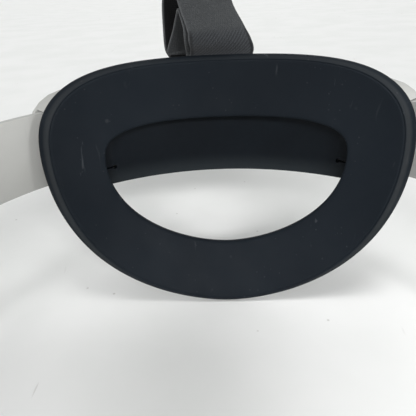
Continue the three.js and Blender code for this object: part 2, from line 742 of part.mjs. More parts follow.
const CAMERAS = [
  ["upper_left", 62, 76],
  ["upper_right", -62, 76],
  ["lower_left", 70, 24],
  ["lower_right", -70, 24],
];
const CAMERA_RADIUS = 8;
const VENTS = 7;
const BUTTON = { y: -178, z: 60, width: 14, height: 5 };
const PORT = { y: -174, z: 34 };
const FRAME_Y = -168; // the chassis plate that the optics, board and battery stand on

function buildVisorShells() {
  const dome = [
    [VISOR_FRONT, 17],
    [-204, 11],
    [-201.5, 6],
    [SHELL_FRONT - GAP, 3],
  ];
  const hollow = [
    [VISOR_FRONT + 2.2, 18],
    [-201.6, 12],
    [-199, 7],
    [SHELL_FRONT + 1, 5],
  ];
  const windows = CAMERAS.map(([, x, z]) => bar("y", -210, -190, [x, z], CAMERA_RADIUS + GAP, 24));
  add("front_cover", "light", cut(visorLoft(dome), visorLoft(hollow), ...windows));

  const body = visorLoft([
    [SHELL_FRONT, 2.7],
    [-193, 1],
    [-187, 0],
    [-100, 0],
  ]);
  const room = visorLoft([
    [SHELL_FRONT - 1, 4.9],
    [-193, VISOR_WALL + 1],
    [-187, VISOR_WALL],
    [-90, VISOR_WALL],
  ]);
  const vents = Array.from({ length: VENTS }, (_, i) =>
    prism(pill(7 * (i - (VENTS - 1) / 2), -184, 2.4, 9), "z", 90, 110, 2),
  );
  const sideHoles = [
    prism(pill(BUTTON.y, BUTTON.z, BUTTON.width + 0.6, BUTTON.height + 0.6), "x", 80, 95, 4),
    prism(pill(BUTTON.y, BUTTON.z, BUTTON.width + 2.6, BUTTON.height + 0.6), "x", -95, -80, 4),
    prism(pill(PORT.y, PORT.z, 9.6, 4), "x", 80, 95, 4),
    bar("x", -95, -80, [PORT.y, PORT.z], 3.1, 20),
    prism(pill(BUTTON.y, BUTTON.z - 10, 4, 1.8), "x", 80, 95, 3),
  ];
  const shell = cut(
    body,
    room,
    bar("z", -10, 110, [0, FACE_AXIS_Y], FACE_RADIUS, 72),
    bar("z", -10, 30, [0, rimY(0) + 4], 21, 32),
    bar("x", -110, 110, [PIVOT_Y, ARM_Z], PIN_RADIUS + GAP, 20),
    ...vents,
    ...sideHoles,
  );
  add("visor_shell", "light", shell);
  const frontAnchor = strapAnchor(FRONT_ANCHOR_Y, VISOR_HEIGHT + GAP, FRONT_ANCHOR_INSIDE);
  add("front_strap_anchor", "light", frontAnchor);

  for (const [side, sign] of SIDES) {
    const washer = cut(
      bar("x", VISOR_HALF_WIDTH + GAP, ARM_INSIDE - GAP, [PIVOT_Y, ARM_Z], 13, 32),
      bar("x", 80, 100, [PIVOT_Y, ARM_Z], PIN_RADIUS + GAP, 20),
    );
    add(`pivot_washer_${side}`, "dark", onSide(washer, sign));
  }
  for (const [place, x, z] of CAMERAS) {
    const barrel = bar("y", -203.4, -194, [x, z], CAMERA_RADIUS, 24);
    const window = bar("y", -204.2, -203, [x, z], CAMERA_RADIUS - 1.2, 24);
    add(`tracking_camera_${place}`, "glass", join(barrel, window));
  }
}

function buildVisorControls() {
  const inside = VISOR_HALF_WIDTH - VISOR_WALL - GAP;
  const cap = (width) =>
    prism(pill(BUTTON.y, BUTTON.z, width, BUTTON.height), "x", inside, VISOR_HALF_WIDTH + 0.9, 4);
  const flange = (width) =>
    prism(pill(BUTTON.y, BUTTON.z, width + 3, BUTTON.height + 3), "x", inside - 1.2, inside, 4);
  add("power_button", "dark", join(cap(BUTTON.width), flange(BUTTON.width)));
  add("volume_rocker", "dark", mirrored(join(cap(BUTTON.width + 2), flange(BUTTON.width + 1))));
  add(
    "status_light",
    "optics",
    prism(pill(BUTTON.y, BUTTON.z - 10, 3.4, 1.2), "x", VISOR_HALF_WIDTH - 2.2, VISOR_HALF_WIDTH - 0.2, 3),
  );
  const tongue = block([80, PORT.y - 3.2, PORT.z - 0.35], [86.5, PORT.y + 3.2, PORT.z + 0.35]);
  const portShell = cut(
    prism(pill(PORT.y, PORT.z, 9, 3.4), "x", 80, VISOR_HALF_WIDTH - 0.2, 4),
    prism(pill(PORT.y, PORT.z, 8.2, 2.6), "x", 81, 95, 4),
  );
  add("charging_port", "steel", join(portShell, tongue));
  const socket = cut(
    bar("x", -VISOR_HALF_WIDTH + 0.2, -76, [PORT.y, PORT.z], 2.8, 20),
    bar("x", -95, -77, [PORT.y, PORT.z], 1.8, 16),
  );
  add("headphone_socket", "dark", socket);
}

function buildVisorInside() {
  const frameOutline = visorOutline(VISOR_WALL + 1.6);
  const plate = prism(frameOutline, "y", FRAME_Y, FRAME_Y + 1.6, 6);
  const rails = [EYE_Z + 32, EYE_Z - 32];
  const posts = rails.flatMap((z) =>
    [-64, 64].map((x) => block([x - 2, FRAME_Y + 1, z - 3], [x + 2, FRAME_Y + 12, z + 3])),
  );
  const railHoles = rails.map((z) => bar("x", -80, 80, [FRAME_Y + 8.6, z], 1.5 + GAP, 12));
  add("chassis_frame", "alloy", cut(join(plate, ...posts), ...railHoles));
  ["upper", "lower"].forEach((place, i) => {
    add(`lens_rail_${place}`, "steel", bar("x", -65, 65, [FRAME_Y + 8.6, rails[i]], 1.5, 12));
  });

  add("display_panel", "glass", block([-60, FRAME_Y + 2, EYE_Z - 27], [60, FRAME_Y + 3.6, EYE_Z + 27]));
  const board = block([-66, -175, 16], [66, -173.4, 82]);
  const chips = [
    [-40, 60, 9],
    [-52, 34, 6],
    [-24, 30, 5],
  ].map(([x, z, half]) => block([x - half, -173.6, z - half], [x + half, -172, z + half]));
  add("main_board", "board", join(board, ...chips));
  add("battery_pack", "cell", prism(pill(-38, EYE_Z, 52, 58, 4), "y", -194, -176, 3));
  const base = block([8, -178, 28], [56, -175.5, 72]);
  const fins = Array.from({ length: 7 }, (_, i) => block([12 + 6 * i, -182, 28], [14 + 6 * i, -177.8, 72]));
  add("heat_sink", "alloy", join(base, ...fins));

  const [fanX, fanZ] = [32, EYE_Z];
  const fanCase = cut(
    prism(pill(fanX, fanZ, 44, 44, 8), "y", -194, -183, 4),
    bar("y", -200, -184.2, [fanX, fanZ], 19.5, 32),
  );
  add("fan_case", "dark", join(fanCase, bar("y", -190, -184, [fanX, fanZ], 1.6, 12)));
  const blades = Array.from({ length: 7 }, (_, i) => {
    const shape = new THREE.Shape();
    const turn = (2 * Math.PI * i) / 7;
    const at = (radius, lead) => [
      fanX + radius * Math.cos(turn + lead),
      fanZ + radius * Math.sin(turn + lead),
    ];
    shape.moveTo(...at(6, 0));
    shape.lineTo(...at(18, 0.35));
    shape.lineTo(...at(18, 0.42));
    shape.lineTo(...at(6, 0.22));
    return prism(shape, "y", -193, -185.4);
  });
  const hub = cut(
    join(bar("y", -193, -185.4, [fanX, fanZ], 7, 20), ...blades),
    bar("y", -191, -184, [fanX, fanZ], 2, 12),
  );
  add("fan_rotor", "dark", hub);
}

function buildOptics() {
  const railY = FRAME_Y + 8.6;
  for (const [side, sign] of SIDES) {
    const x = (sign * EYE_SPACING) / 2;
    const tube = cut(
      bar("y", -163, -148, [x, EYE_Z], BARREL_RADIUS, 24),
      bar("y", -165, -151, [x, EYE_Z], BARREL_RADIUS - 2, 24),
      bar("y", -152, -140, [x, EYE_Z], BARREL_RADIUS - 1.4, 24),
    );
    const lugs = [1, -1].map((up) =>
      cut(
        block([x - 5, railY - 3.4, EYE_Z + up * 30 - 5.4], [x + 5, railY + 3.4, EYE_Z + up * 30 + 5.4]),
        bar("x", -80, 80, [railY, EYE_Z + up * 32], 1.5 + GAP, 12),
        bar("y", -190, -120, [x, EYE_Z], BARREL_RADIUS - 1, 24),
      ),
    );
    add(`lens_barrel_${side}`, "dark", join(tube, ...lugs));
    const bulge = new THREE.SphereGeometry(60, 36, 24);
    bulge.translate(x, -145 - 60, EYE_Z);
    const disc = bar("y", -151 + GAP, -140, [x, EYE_Z], BARREL_RADIUS - 1.4 - GAP, 24);
    add(`lens_${side}`, "optics", disc.intersect(solid(bulge)));
  }
  const height = 2 * (BARREL_RADIUS + SHROUD_PLAY);
  const slot = (sign) =>
    prism(pill((sign * EYE_SPACING) / 2, EYE_Z, height + 2 * EYE_TRAVEL, height), "y", -160, -140, 6);
  const sensorHole = bar("y", -160, -140, [0, SENSOR.z], SENSOR.radius + 0.4, 12);
  const sheet = prism(visorOutline(VISOR_WALL + 0.5), "y", -154.5, -153, 6);
  add("inner_shroud", "dark", cut(sheet, slot(1), slot(-1), sensorHole));
  add("wear_sensor", "glass", bar("y", -156, -152.6, [0, SENSOR.z], SENSOR.radius, 12));
}

// ---------------------------------------------------------------- face interface

/** An outline that follows the face: a rounded box with a dip for the nose. */
function faceOutline(half, reach, turn) {
  const [c, s] = [Math.cos(turn), Math.sin(turn)];
  const x = half * Math.sign(c) * Math.abs(c) ** 0.62;
  const z = EYE_Z - 1 + reach * Math.sign(s) * Math.abs(s) ** 0.62;
  const nose = s < 0 ? 21 * Math.exp(-((x / 19) ** 2)) : 0;
  return [x, z + nose];
}

/** A ring between two face outlines, its front and back following the visor's rim. */
function faceRing(outer, inner, front, back, stations = 60) {
  const outlines = [];
  for (let i = 0; i < stations; i++) {
    const turn = (2 * Math.PI * i) / stations;
    const [outerX, outerZ] = faceOutline(...outer, turn);
    const [innerX, innerZ] = faceOutline(...inner, turn);
    outlines.push([
      new THREE.Vector3(outerX, rimY(outerX) + front, outerZ),
      new THREE.Vector3(outerX, rimY(outerX) + back, outerZ),
      new THREE.Vector3(innerX, rimY(innerX) + back, innerZ),
      new THREE.Vector3(innerX, rimY(innerX) + front, innerZ),
    ]);
  }
  return loft(outlines, true);
}

function buildFaceInterface() {
  add("face_frame", "dark", faceRing([82, 44], [76, 38], -10, 3));
  add("face_pad", "foam", faceRing([84, 46], [66, 31], 3 + GAP, 18));
}

// ---------------------------------------------------------------- the whole headset

buildCradle();
buildRearHousing();
buildFitDrive();
buildSideArms();
buildTopStrap();
buildVisorShells();
buildVisorControls();
buildVisorInside();
buildOptics();
buildFaceInterface();

// The origin is the middle of the footprint.
const HEADSET_BACK = DIAL_BACK + 0.8;
headset.position.y = -(VISOR_FRONT + HEADSET_BACK) / 2;

export default headset;
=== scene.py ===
import json
import math

import bmesh
import bpy
from mathutils import Matrix, Vector


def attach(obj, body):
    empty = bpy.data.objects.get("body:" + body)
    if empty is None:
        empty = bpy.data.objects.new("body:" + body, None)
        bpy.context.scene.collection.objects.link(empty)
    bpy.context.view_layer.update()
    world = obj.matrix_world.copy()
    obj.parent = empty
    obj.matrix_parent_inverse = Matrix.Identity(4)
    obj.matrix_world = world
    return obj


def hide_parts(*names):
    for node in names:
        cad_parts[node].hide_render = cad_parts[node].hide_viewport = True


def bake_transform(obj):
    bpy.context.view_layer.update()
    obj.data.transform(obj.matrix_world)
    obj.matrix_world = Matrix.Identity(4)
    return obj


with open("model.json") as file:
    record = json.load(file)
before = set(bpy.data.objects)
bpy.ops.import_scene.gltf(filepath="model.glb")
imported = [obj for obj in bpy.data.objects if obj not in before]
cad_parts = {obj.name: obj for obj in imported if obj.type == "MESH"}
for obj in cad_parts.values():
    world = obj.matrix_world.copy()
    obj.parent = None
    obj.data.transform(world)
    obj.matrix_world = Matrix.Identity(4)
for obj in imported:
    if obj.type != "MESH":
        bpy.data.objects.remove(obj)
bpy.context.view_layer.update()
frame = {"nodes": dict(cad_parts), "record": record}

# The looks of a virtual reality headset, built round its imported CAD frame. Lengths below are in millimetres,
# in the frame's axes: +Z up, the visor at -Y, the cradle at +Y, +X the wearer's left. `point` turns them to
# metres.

MM = 0.001
DEGREE = math.pi / 180


def point(x, y, z):
    """A place in millimetres as a vector in metres."""
    return Vector((x, y, z)) * MM


# ---------------------------------------------------------------- camera

CAMERA_PLACE = point(0, -45.6, 117.5)  # in the head space, where the wearer's eyes would be
CAMERA_LENS = 38.9
CAMERA_SENSOR = 36
CAMERA_DOWN = 27  # degrees, like the two below
CAMERA_YAW = 2.6
CAMERA_ROLL = -2.5
NEAREST_SEEN = 5


def make_camera():
    """Looks back and down from between the eyes at the inside of the cradle."""
    data = bpy.data.cameras.new("camera")
    data.lens = CAMERA_LENS
    data.sensor_width = CAMERA_SENSOR
    data.clip_start = NEAREST_SEEN * MM
    camera = bpy.data.objects.new("camera", data)
    bpy.context.scene.collection.objects.link(camera)
    turn = Matrix.Rotation(CAMERA_YAW * DEGREE, 4, "Z")
    tilt = Matrix.Rotation((90 - CAMERA_DOWN) * DEGREE, 4, "X")
    roll = Matrix.Rotation(CAMERA_ROLL * DEGREE, 4, "Z")
    camera.matrix_world = Matrix.Translation(CAMERA_PLACE) @ turn @ tilt @ roll
    bpy.context.scene.camera = camera


# ---------------------------------------------------------------- node trees

class Finish:
    """A principled material, with short calls that build its node tree. Texture scales are per metre."""

    def __init__(self, name, **constants):
        self.material = bpy.data.materials.new(name)
        self.material.use_nodes = True
        self.tree = self.material.node_tree
        self.shader = self.tree.nodes["Principled BSDF"]
        self.place = self.node("ShaderNodeTexCoord").outputs["Object"]
        for key, value in constants.items():
            self.shader.inputs[key.replace("_", " ")].default_value = value

    def node(self, kind, inputs=None, **settings):
        """Adds a node. Each input is a number, a colour or another node's socket."""
        made = self.tree.nodes.new(kind)
        for key, value in settings.items():
            setattr(made, key, value)
        for key, value in (inputs or {}).items():
            if isinstance(value, bpy.types.NodeSocket):
                self.tree.links.new(value, made.inputs[key])
            else:
                made.inputs[key].default_value = value
        return made

    def noise(self, scale, detail=3, stretch=(1, 1, 1), roughness=0.55, distortion=0):
        """Cloudy noise, drawn out along the axes whose stretch is below 1."""
        place = self.node("ShaderNodeMapping", {"Vector": self.place, "Scale": stretch}).outputs["Vector"]
        inputs = {"Vector": place, "Scale": scale, "Detail": detail}
        inputs |= {"Roughness": roughness, "Distortion": distortion}
        return self.node("ShaderNodeTexNoise", inputs).outputs["Fac"]

    def specks(self, scale, low, high, strength, randomness=1):
        """Round spots, strength at their middles, that fade out from low to high in shares of a cell."""
        inputs = {"Vector": self.place, "Scale": scale, "Randomness": randomness}
        away = self.node("ShaderNodeTexVoronoi", inputs).outputs["Distance"]
        return self.span(away, low, high, strength, 0)

    def waves(self, scale, direction, distortion=0):
        """Bands across one of the object's axes."""
        inputs = {"Vector": self.place, "Scale": scale, "Distortion": distortion, "Detail": 1}
        return self.node("ShaderNodeTexWave", inputs, bands_direction=direction).outputs["Fac"]

    def stored(self, name):
        """A number kept on the piece's points."""
        return self.node("ShaderNodeAttribute", attribute_name=name).outputs["Fac"]

    def height(self):
        """Height above the table, in metres."""
        return self.node("ShaderNodeSeparateXYZ", {"Vector": self.place}).outputs["Z"]

    def span(self, value, low, high, start=0.0, end=1.0):
        """Value's stretch from low to high, spread over start to end and held flat outside."""
        inputs = {"Value": value, "From Min": low, "From Max": high, "To Min": start, "To Max": end}
        return self.node("ShaderNodeMapRange", inputs, interpolation_type="SMOOTHSTEP").outputs["Result"]

    def maths(self, operation, a, b=0.0):
        """The result of a sum on numbers."""
        return self.node("ShaderNodeMath", {0: a, 1: b}, operation=operation).outputs["Value"]

    def vectors(self, operation, a, b=(0, 0, 0)):
        """The outputs of a sum on places or directions."""
        return self.node("ShaderNodeVectorMath", {0: a, 1: b}, operation=operation).outputs

    def blend(self, share, a, b):
        """Colour a where the share is 0, and colour b where it is 1."""
        made = self.node("ShaderNodeMix", data_type="RGBA")
        for index, value in ((0, share), (6, a), (7, b)):
            if isinstance(value, bpy.types.NodeSocket):
                self.tree.links.new(value, made.inputs[index])
            else:
                made.inputs[index].default_value = value
        return made.outputs[2]

    def link(self, socket, value):
        """Drives one of the shader's own inputs."""
        self.tree.links.new(value, self.shader.inputs[socket])

    def bump(self, height, depth, strength=1.0):
        """Relief of a height from 0 to 1, depth millimetres deep."""
        inputs = {"Height": height, "Distance": depth * MM, "Strength": strength}
        self.link("Normal", self.node("ShaderNodeBump", inputs).outputs["Normal"])


def grey(level, red=0.0, blue=0.0):
    """A linear colour near grey."""
    return (level * (1 + red), level, level * (1 + blue), 1)


# ---------------------------------------------------------------- materials

def light_plastic():
    """Light warm-grey moulded plastic: fine spark grain, faint cloudiness, and handling marks."""
    look = Finish("light_plastic", Roughness=0.5)
    cloud = look.noise(22, 3)
    tone = look.blend(look.span(cloud, 0.3, 0.7), grey(0.405, 0.0, -0.045), grey(0.44, 0.0, -0.035))
    marks = look.span(look.noise(160, 6, (1, 1, 0.25), 0.7), 0.62, 0.78, 0, 0.22)
    look.link("Base Color", look.blend(marks, tone, grey(0.28, 0.02, -0.03)))
    grain = look.noise(2600, 2)
    look.link("Roughness", look.span(look.noise(300, 5), 0.3, 0.75, 0.42, 0.58))
    look.bump(grain, 0.03, 0.55)
    return look.material


def dark_plastic():
    """Near-black moulded plastic with a spark texture and a few rubbed spots."""
    look = Finish("dark_plastic", Specular_IOR_Level=0.15)
    cloud = look.noise(40, 4)
    tone = look.blend(look.span(cloud, 0.3, 0.7), grey(0.0042, -0.45, 0.6), grey(0.0065, -0.42, 0.55))
    rubbed = look.span(look.noise(220, 6, (1, 1, 1), 0.7), 0.64, 0.8, 0, 0.3)
    look.link("Base Color", look.blend(rubbed, tone, grey(0.035, -0.08, 0.12)))
    look.link("Roughness", look.span(look.noise(500, 4), 0.3, 0.7, 0.42, 0.56))
    look.bump(look.noise(2200, 3), 0.04, 0.6)
    return look.material


COVER_BOTTOM = 43.5  # height of the inner cover's lower edge
COVER_FADE = 8  # how far up the painted light from the floor reaches


def inner_cover_plastic():
    """The dark plastic of the cover that faces the head: smoother, and paler towards its lower edge with
    painted light thrown up from the table.
    """
    look = Finish("inner_cover_plastic", Specular_IOR_Level=0.15)
    cloud = look.noise(30, 4)
    tone = look.blend(look.span(cloud, 0.3, 0.7), grey(0.0042, -0.45, 0.6), grey(0.0062, -0.42, 0.55))
    # Painted light: the lower edge is paler, standing in for light thrown up from the table.
    low = look.span(look.height(), COVER_BOTTOM * MM, (COVER_BOTTOM + COVER_FADE) * MM, 0.85, 0)
    tone = look.blend(low, tone, grey(0.026, -0.2, 0.15))
    dust = look.specks(420, 0.04, 0.09, 0.3)
    chosen = look.span(look.noise(60, 2), 0.55, 0.65)
    look.link("Base Color", look.blend(look.maths("MULTIPLY", dust, chosen), tone, grey(0.08)))
    look.link("Roughness", look.span(look.noise(400, 4), 0.3, 0.7, 0.45, 0.6))
    look.bump(look.noise(2600, 3), 0.03, 0.5)
    return look.material


def black_rubber():
    """Soft-touch black: an even matt skin, a painted highlight along the ring's lip, and scuffs and specks of
    dust.
    """
    look = Finish("black_rubber", Specular_IOR_Level=0.16)
    cloud = look.noise(14, 2)
    tone = look.blend(look.span(cloud, 0.3, 0.7), grey(0.0062, -0.4, 0.55), grey(0.0088, -0.38, 0.5))
    patches = look.span(look.noise(38, 3), 0.46, 0.66)
    scratches = look.span(look.noise(300, 2, (1, 0.6, 0.22), 0.5, 1.2), 0.665, 0.75)
    scuffs = look.maths("MULTIPLY", look.maths("MULTIPLY", patches, scratches), 0.24)
    dusty, spotty = look.span(look.noise(70, 1), 0.44, 0.54), look.span(look.noise(42, 2), 0.5, 0.62)
    dust = look.maths("MULTIPLY", look.specks(330, 0.05, 0.13, 0.3), dusty)
    spots = look.maths("MULTIPLY", look.specks(95, 0.04, 0.1, 0.3), spotty)
    marks = look.maths("MAXIMUM", scuffs, look.maths("MULTIPLY", look.maths("MAXIMUM", dust, spots), 0.5))
    # Painted highlight: the lip is paler where its rolled edge would catch the light.
    tone = look.blend(look.maths("MULTIPLY", look.stored("rubbed"), 0.75), tone, grey(0.026, -0.12, 0.1))
    look.link("Base Color", look.blend(marks, tone, grey(0.12, -0.06, 0.08)))
    look.link("Roughness", look.span(look.noise(90, 5), 0.3, 0.75, 0.66, 0.76))
    look.bump(look.noise(3200, 2), 0.015, 0.5)
    return look.material


def webbing():
    """Woven tape: fine threads, painted shade in the furrows of the ribbed stretch, black hooks, and a painted
    highlight along the edges.
    """
    look = Finish("webbing", Roughness=0.9, Specular_IOR_Level=0.2, Sheen_Weight=0.2, Sheen_Roughness=0.5)
    fibre = look.noise(1500, 4, (1, 1, 1), 0.7)
    plain = look.blend(look.span(fibre, 0.3, 0.7), grey(0.038, -0.07, 0.06), grey(0.060, -0.06, 0.05))
    # Painted shade: the furrows between the ribs are much darker than the crests.
    ribs_with_furrow_shade = look.blend(look.stored("crest"), grey(0.012, -0.08, 0.16), grey(0.060, -0.07, 0.1))
    thready = look.blend(look.span(fibre, 0.35, 0.65, 0, 0.35), ribs_with_furrow_shade, grey(0.032, -0.06, 0.12))
    tone = look.blend(look.stored("ribbed"), plain, thready)
    wear_and_highlight = look.span(look.noise(120, 4), 0.5, 0.75, 0, 0.25)
    tone = look.blend(wear_and_highlight, tone, grey(0.07, -0.04, 0.03))
    tone = look.blend(look.stored("hooks"), tone, grey(0.003, 0, 0.3))
    # Painted highlight: the tape's edges are paler, where a rim would catch the light.
    rim = look.maths("MULTIPLY", look.stored("rim"), 0.8)
    look.link("Base Color", look.blend(rim, tone, grey(0.10, -0.03, 0.05)))
    threads = look.maths("MULTIPLY", look.waves(450, "Z", 1.2), look.waves(450, "X", 1.2))
    look.bump(look.maths("ADD", threads, look.maths("MULTIPLY", fibre, 0.7)), 0.12, 0.6)
    return look.material


def pad_fabric():
    """Knitted cover over foam: rows of small loops, a soft sheen and slight pilling."""
    look = Finish("pad_fabric", Roughness=0.92, Sheen_Weight=0.35, Sheen_Roughness=0.55)
    loops = look.maths("MULTIPLY", look.waves(300, "X", 0.8), look.waves(300, "Z", 0.8))
    rows = look.maths("MULTIPLY", look.waves(300, "Y", 0.8), look.waves(300, "Z", 0.8))
    knit = look.maths("MAXIMUM", loops, rows)
    yarn = look.blend(knit, grey(0.012, -0.05, 0.12), grey(0.036, -0.04, 0.08))
    pilling = look.span(look.noise(420, 5, (1, 1, 1), 0.7), 0.58, 0.75, 0, 0.35)
    look.link("Base Color", look.blend(pilling, yarn, grey(0.07)))
    look.bump(look.maths("ADD", knit, look.maths("MULTIPLY", pilling, 0.8)), 0.25, 0.7)
    return look.material


def black_glass():
    """Dark coated glass, with a greasy bloom."""
    look = Finish("black_glass", Specular_IOR_Level=0.6, Coat_Weight=0.6, Coat_Roughness=0.03)
    smear = look.noise(60, 4, (1, 1, 0.3))
    look.link("Base Color", look.blend(smear, grey(0.004, 0, 0.3), grey(0.012, -0.1, 0.5)))
    look.link("Roughness", look.span(smear, 0.35, 0.7, 0.05, 0.16))
    return look.material


CAMERA_PLACES = [(62, 0, 76), (70, 0, 24)]  # middles of the left tracking cameras, seen from the front
CAMERA_PUPIL = 2.6  # radius
CAMERA_RING = 3.0
BAFFLE_PITCH = 0.9


def camera_window():
    """A tracking camera behind dark glass: a coated pupil, a bright ring and a ribbed baffle round it."""
    look = Finish("camera_window", Roughness=0.12, Specular_IOR_Level=0.4)
    mirrored = look.vectors("ABSOLUTE", look.place)
    flat = look.vectors("MULTIPLY", mirrored["Vector"], (1, 0, 1))
    away = [look.vectors("DISTANCE", flat["Vector"], point(*middle))["Value"] for middle in CAMERA_PLACES]
    reach = look.maths("MINIMUM", *away)
    ripple = look.maths("SINE", look.maths("MULTIPLY", reach, 2 * math.pi / (BAFFLE_PITCH * MM)))
    baffle = look.blend(look.span(ripple, -1, 1), grey(0.002), grey(0.012))
    past_ring = look.span(reach, CAMERA_RING * MM, (CAMERA_RING + 0.25) * MM)
    outer = look.blend(past_ring, grey(0.16, 0.03, -0.03), baffle)
    from_middle = look.span(reach, 0.4 * MM, 2.3 * MM)
    pupil = look.blend(from_middle, (0.001, 0.001, 0.004, 1), (0.012, 0.006, 0.03, 1))
    tone = look.blend(look.span(reach, CAMERA_PUPIL * MM, (CAMERA_PUPIL + 0.15) * MM), pupil, outer)
    look.link("Base Color", look.blend(look.specks(700, 0.05, 0.1, 0.25), tone, grey(0.06)))
    return look.material


def lens_optic():
    """Clear moulded lens, faintly blue, with hair-fine wiping marks in its coating."""
    look = Finish("lens_optic", IOR=1.5, Transmission_Weight=0.9, Coat_Weight=0.3, Coat_Roughness=0.02)
    wiped = look.noise(900, 3, (1, 1, 0.15))
    look.link("Base Color", look.blend(wiped, grey(0.82, -0.03, 0.05), grey(0.86, -0.03, 0.06)))
    look.link("Roughness", look.span(wiped, 0.3, 0.7, 0.01, 0.03))
    return look.material


def metal(name, level, low, high, brushed):
    """Bare metal, with brushing along one axis, darker in places."""
    look = Finish(name, Metallic=1.0)
    strokes = look.noise(900, 4, brushed, 0.7)
    stain = look.span(look.noise(90, 4), 0.45, 0.75, 0, 0.5)
    tone = look.blend(strokes, grey(level * 0.8), grey(level, 0.01, 0.0))
    look.link("Base Color", look.blend(stain, tone, grey(level * 0.6, 0.04, -0.04)))
    look.link("Roughness", look.span(strokes, 0.25, 0.75, low, high))
    look.bump(strokes, 0.02, 0.4)
    return look.material


def circuit_board():
    """Green solder mask with copper traces under it and pale pads."""
    look = Finish("circuit_board", Roughness=0.35, Coat_Weight=0.3)
    traces = look.maths("MAXIMUM", look.waves(110, "X"), look.waves(150, "Z"))
    copper = look.span(traces, 0.86, 0.93)
    tone = look.blend(copper, (0.008, 0.055, 0.028, 1), (0.02, 0.13, 0.06, 1))
    pads = look.specks(240, 0.14, 0.18, 1, randomness=0.4)
    look.link("Base Color", look.blend(pads, tone, (0.55, 0.5, 0.38, 1)))
    look.bump(look.maths("ADD", copper, pads), 0.05, 0.6)
    return look.material


def battery_wrap():
    """Shrink film over cells: dark, crinkled and slightly glossy."""
    look = Finish("battery_wrap", Coat_Weight=0.2)
    crinkle = look.noise(130, 5, (1, 1, 0.4), 0.6, 0.8)
    look.link("Base Color", look.blend(crinkle, grey(0.02, 0, 0.1), grey(0.05, 0, 0.08)))
    look.link("Roughness", look.span(crinkle, 0.3, 0.7, 0.3, 0.5))
    look.bump(crinkle, 0.3, 0.6)
    return look.material


def paper_floor():
    """The table: matt white with very faint specks and hairs."""
    look = Finish("table_white", Roughness=0.9, Specular_IOR_Level=0.05)
    cloud = look.noise(11, 4)
    tone = look.blend(look.span(cloud, 0.35, 0.65), (0.83, 0.835, 0.825, 1), (0.865, 0.865, 0.86, 1))
    specks = look.specks(70, 0.022, 0.055, 0.45)
    hairs = look.span(look.noise(90, 2, (1, 0.12, 1), 0.5, 1.5), 0.725, 0.765, 0, 0.3)
    look.link("Base Color", look.blend(look.maths("MAXIMUM", specks, hairs), tone, grey(0.35, 0.05, -0.05)))
    look.bump(look.noise(300, 3), 0.05, 0.2)
    return look.material


def make_materials():
    """Every look by its name, which is also the slot's name in the record, but for two special looks."""
    return {
        "light_plastic": light_plastic(),
        "dark_plastic": dark_plastic(),
        "black_rubber": black_rubber(),
        "webbing": webbing(),
        "pad_fabric": pad_fabric(),
        "black_glass": black_glass(),
        "lens_optic": lens_optic(),
        "camera_window": camera_window(),
        "inner_cover_plastic": inner_cover_plastic(),
        "steel": metal("steel", 0.62, 0.22, 0.4, (1, 1, 0.06)),
        "alloy": metal("alloy", 0.5, 0.38, 0.55, (0.06, 1, 1)),
        "circuit_board": circuit_board(),
        "battery_wrap": battery_wrap(),
    }


# ---------------------------------------------------------------- mesh helpers

def smooth(value, low, high):
    """0 up to low, 1 from high on, and an even curve between them."""
    t = min(1, max(0, (value - low) / (high - low)))
    return t * t * (3 - 2 * t)


def new_piece(name, vertices, faces, slot, numbers=None):
    """A smooth mesh from points in metres, with its material and, if given, numbers on its points."""
    mesh = bpy.data.meshes.new(name)
    mesh.from_pydata(vertices, [], faces)
    for key, values in (numbers or {}).items():
        mesh.attributes.new(key, "FLOAT", "POINT").data.foreach_set("value", values)
    tidy = bmesh.new()
    tidy.from_mesh(mesh)
    bmesh.ops.recalc_face_normals(tidy, faces=tidy.faces)
    tidy.to_mesh(mesh)
    tidy.free()
    mesh.shade_smooth()
    mesh.materials.append(MATERIALS[slot])
    piece = bpy.data.objects.new(name, mesh)
    bpy.context.scene.collection.objects.link(piece)
    return piece


def tube_faces(rows, columns, closed):
    """Quads between rows of points that each go once round. A closed tube's last row meets its first."""
    faces = []
    for i in range(rows if closed else rows - 1):
        for j in range(columns):
            a, b = i * columns, ((i + 1) % rows) * columns
            k = (j + 1) % columns
            faces.append((a + j, a + k, b + k, b + j))
    if not closed:
        faces.append(tuple(range(columns))[::-1])
        faces.append(tuple((rows - 1) * columns + j for j in range(columns)))
    return faces


def spline(stations, steps):
    """Points on a smooth line through stations of any number of values, with even steps between stations."""
    rows = [Vector(s) for s in stations]
    rows = [2 * rows[0] - rows[1], *rows, 2 * rows[-1] - rows[-2]]
    made = []
    for a, b, c, d in zip(rows, rows[1:], rows[2:], rows[3:]):
        slope = c - a
        bend = 2 * a - 5 * b + 4 * c - d
        twist = 3 * b - a - 3 * c + d
        for i in range(steps):
            t = i / steps
            made.append(0.5 * (2 * b + slope * t + bend * t * t + twist * t ** 3))
    made.append(rows[-2])
    return made


STEPS_BETWEEN_STATIONS = 40


def even_spline(stations, pitch):
    """Points a pitch apart on a smooth line through stations that start with a place, and its length."""
    fine = spline(stations, STEPS_BETWEEN_STATIONS)
    lengths = [0.0]
    for a, b in zip(fine, fine[1:]):
        lengths.append(lengths[-1] + (Vector(b[:3]) - Vector(a[:3])).length)
    count = max(2, round(lengths[-1] / pitch))
    made, k = [], 0
    for i in range(count + 1):
        wanted = lengths[-1] * i / count
        while k < len(fine) - 2 and lengths[k + 1] < wanted:
            k += 1
        gap = lengths[k + 1] - lengths[k]
        made.append(fine[k].lerp(fine[k + 1], (wanted - lengths[k]) / gap if gap else 0))
    return made, lengths[-1]


# ---------------------------------------------------------------- head cradle

AXIS_Y = 46.6  # the head axis, a vertical line through x = 0
CRADLE_RADIUS = 85
CUP_TOP = 84.5  # height above which the cup is upright; below it, it curves in under the head
CUP_CURVE = 0.0045
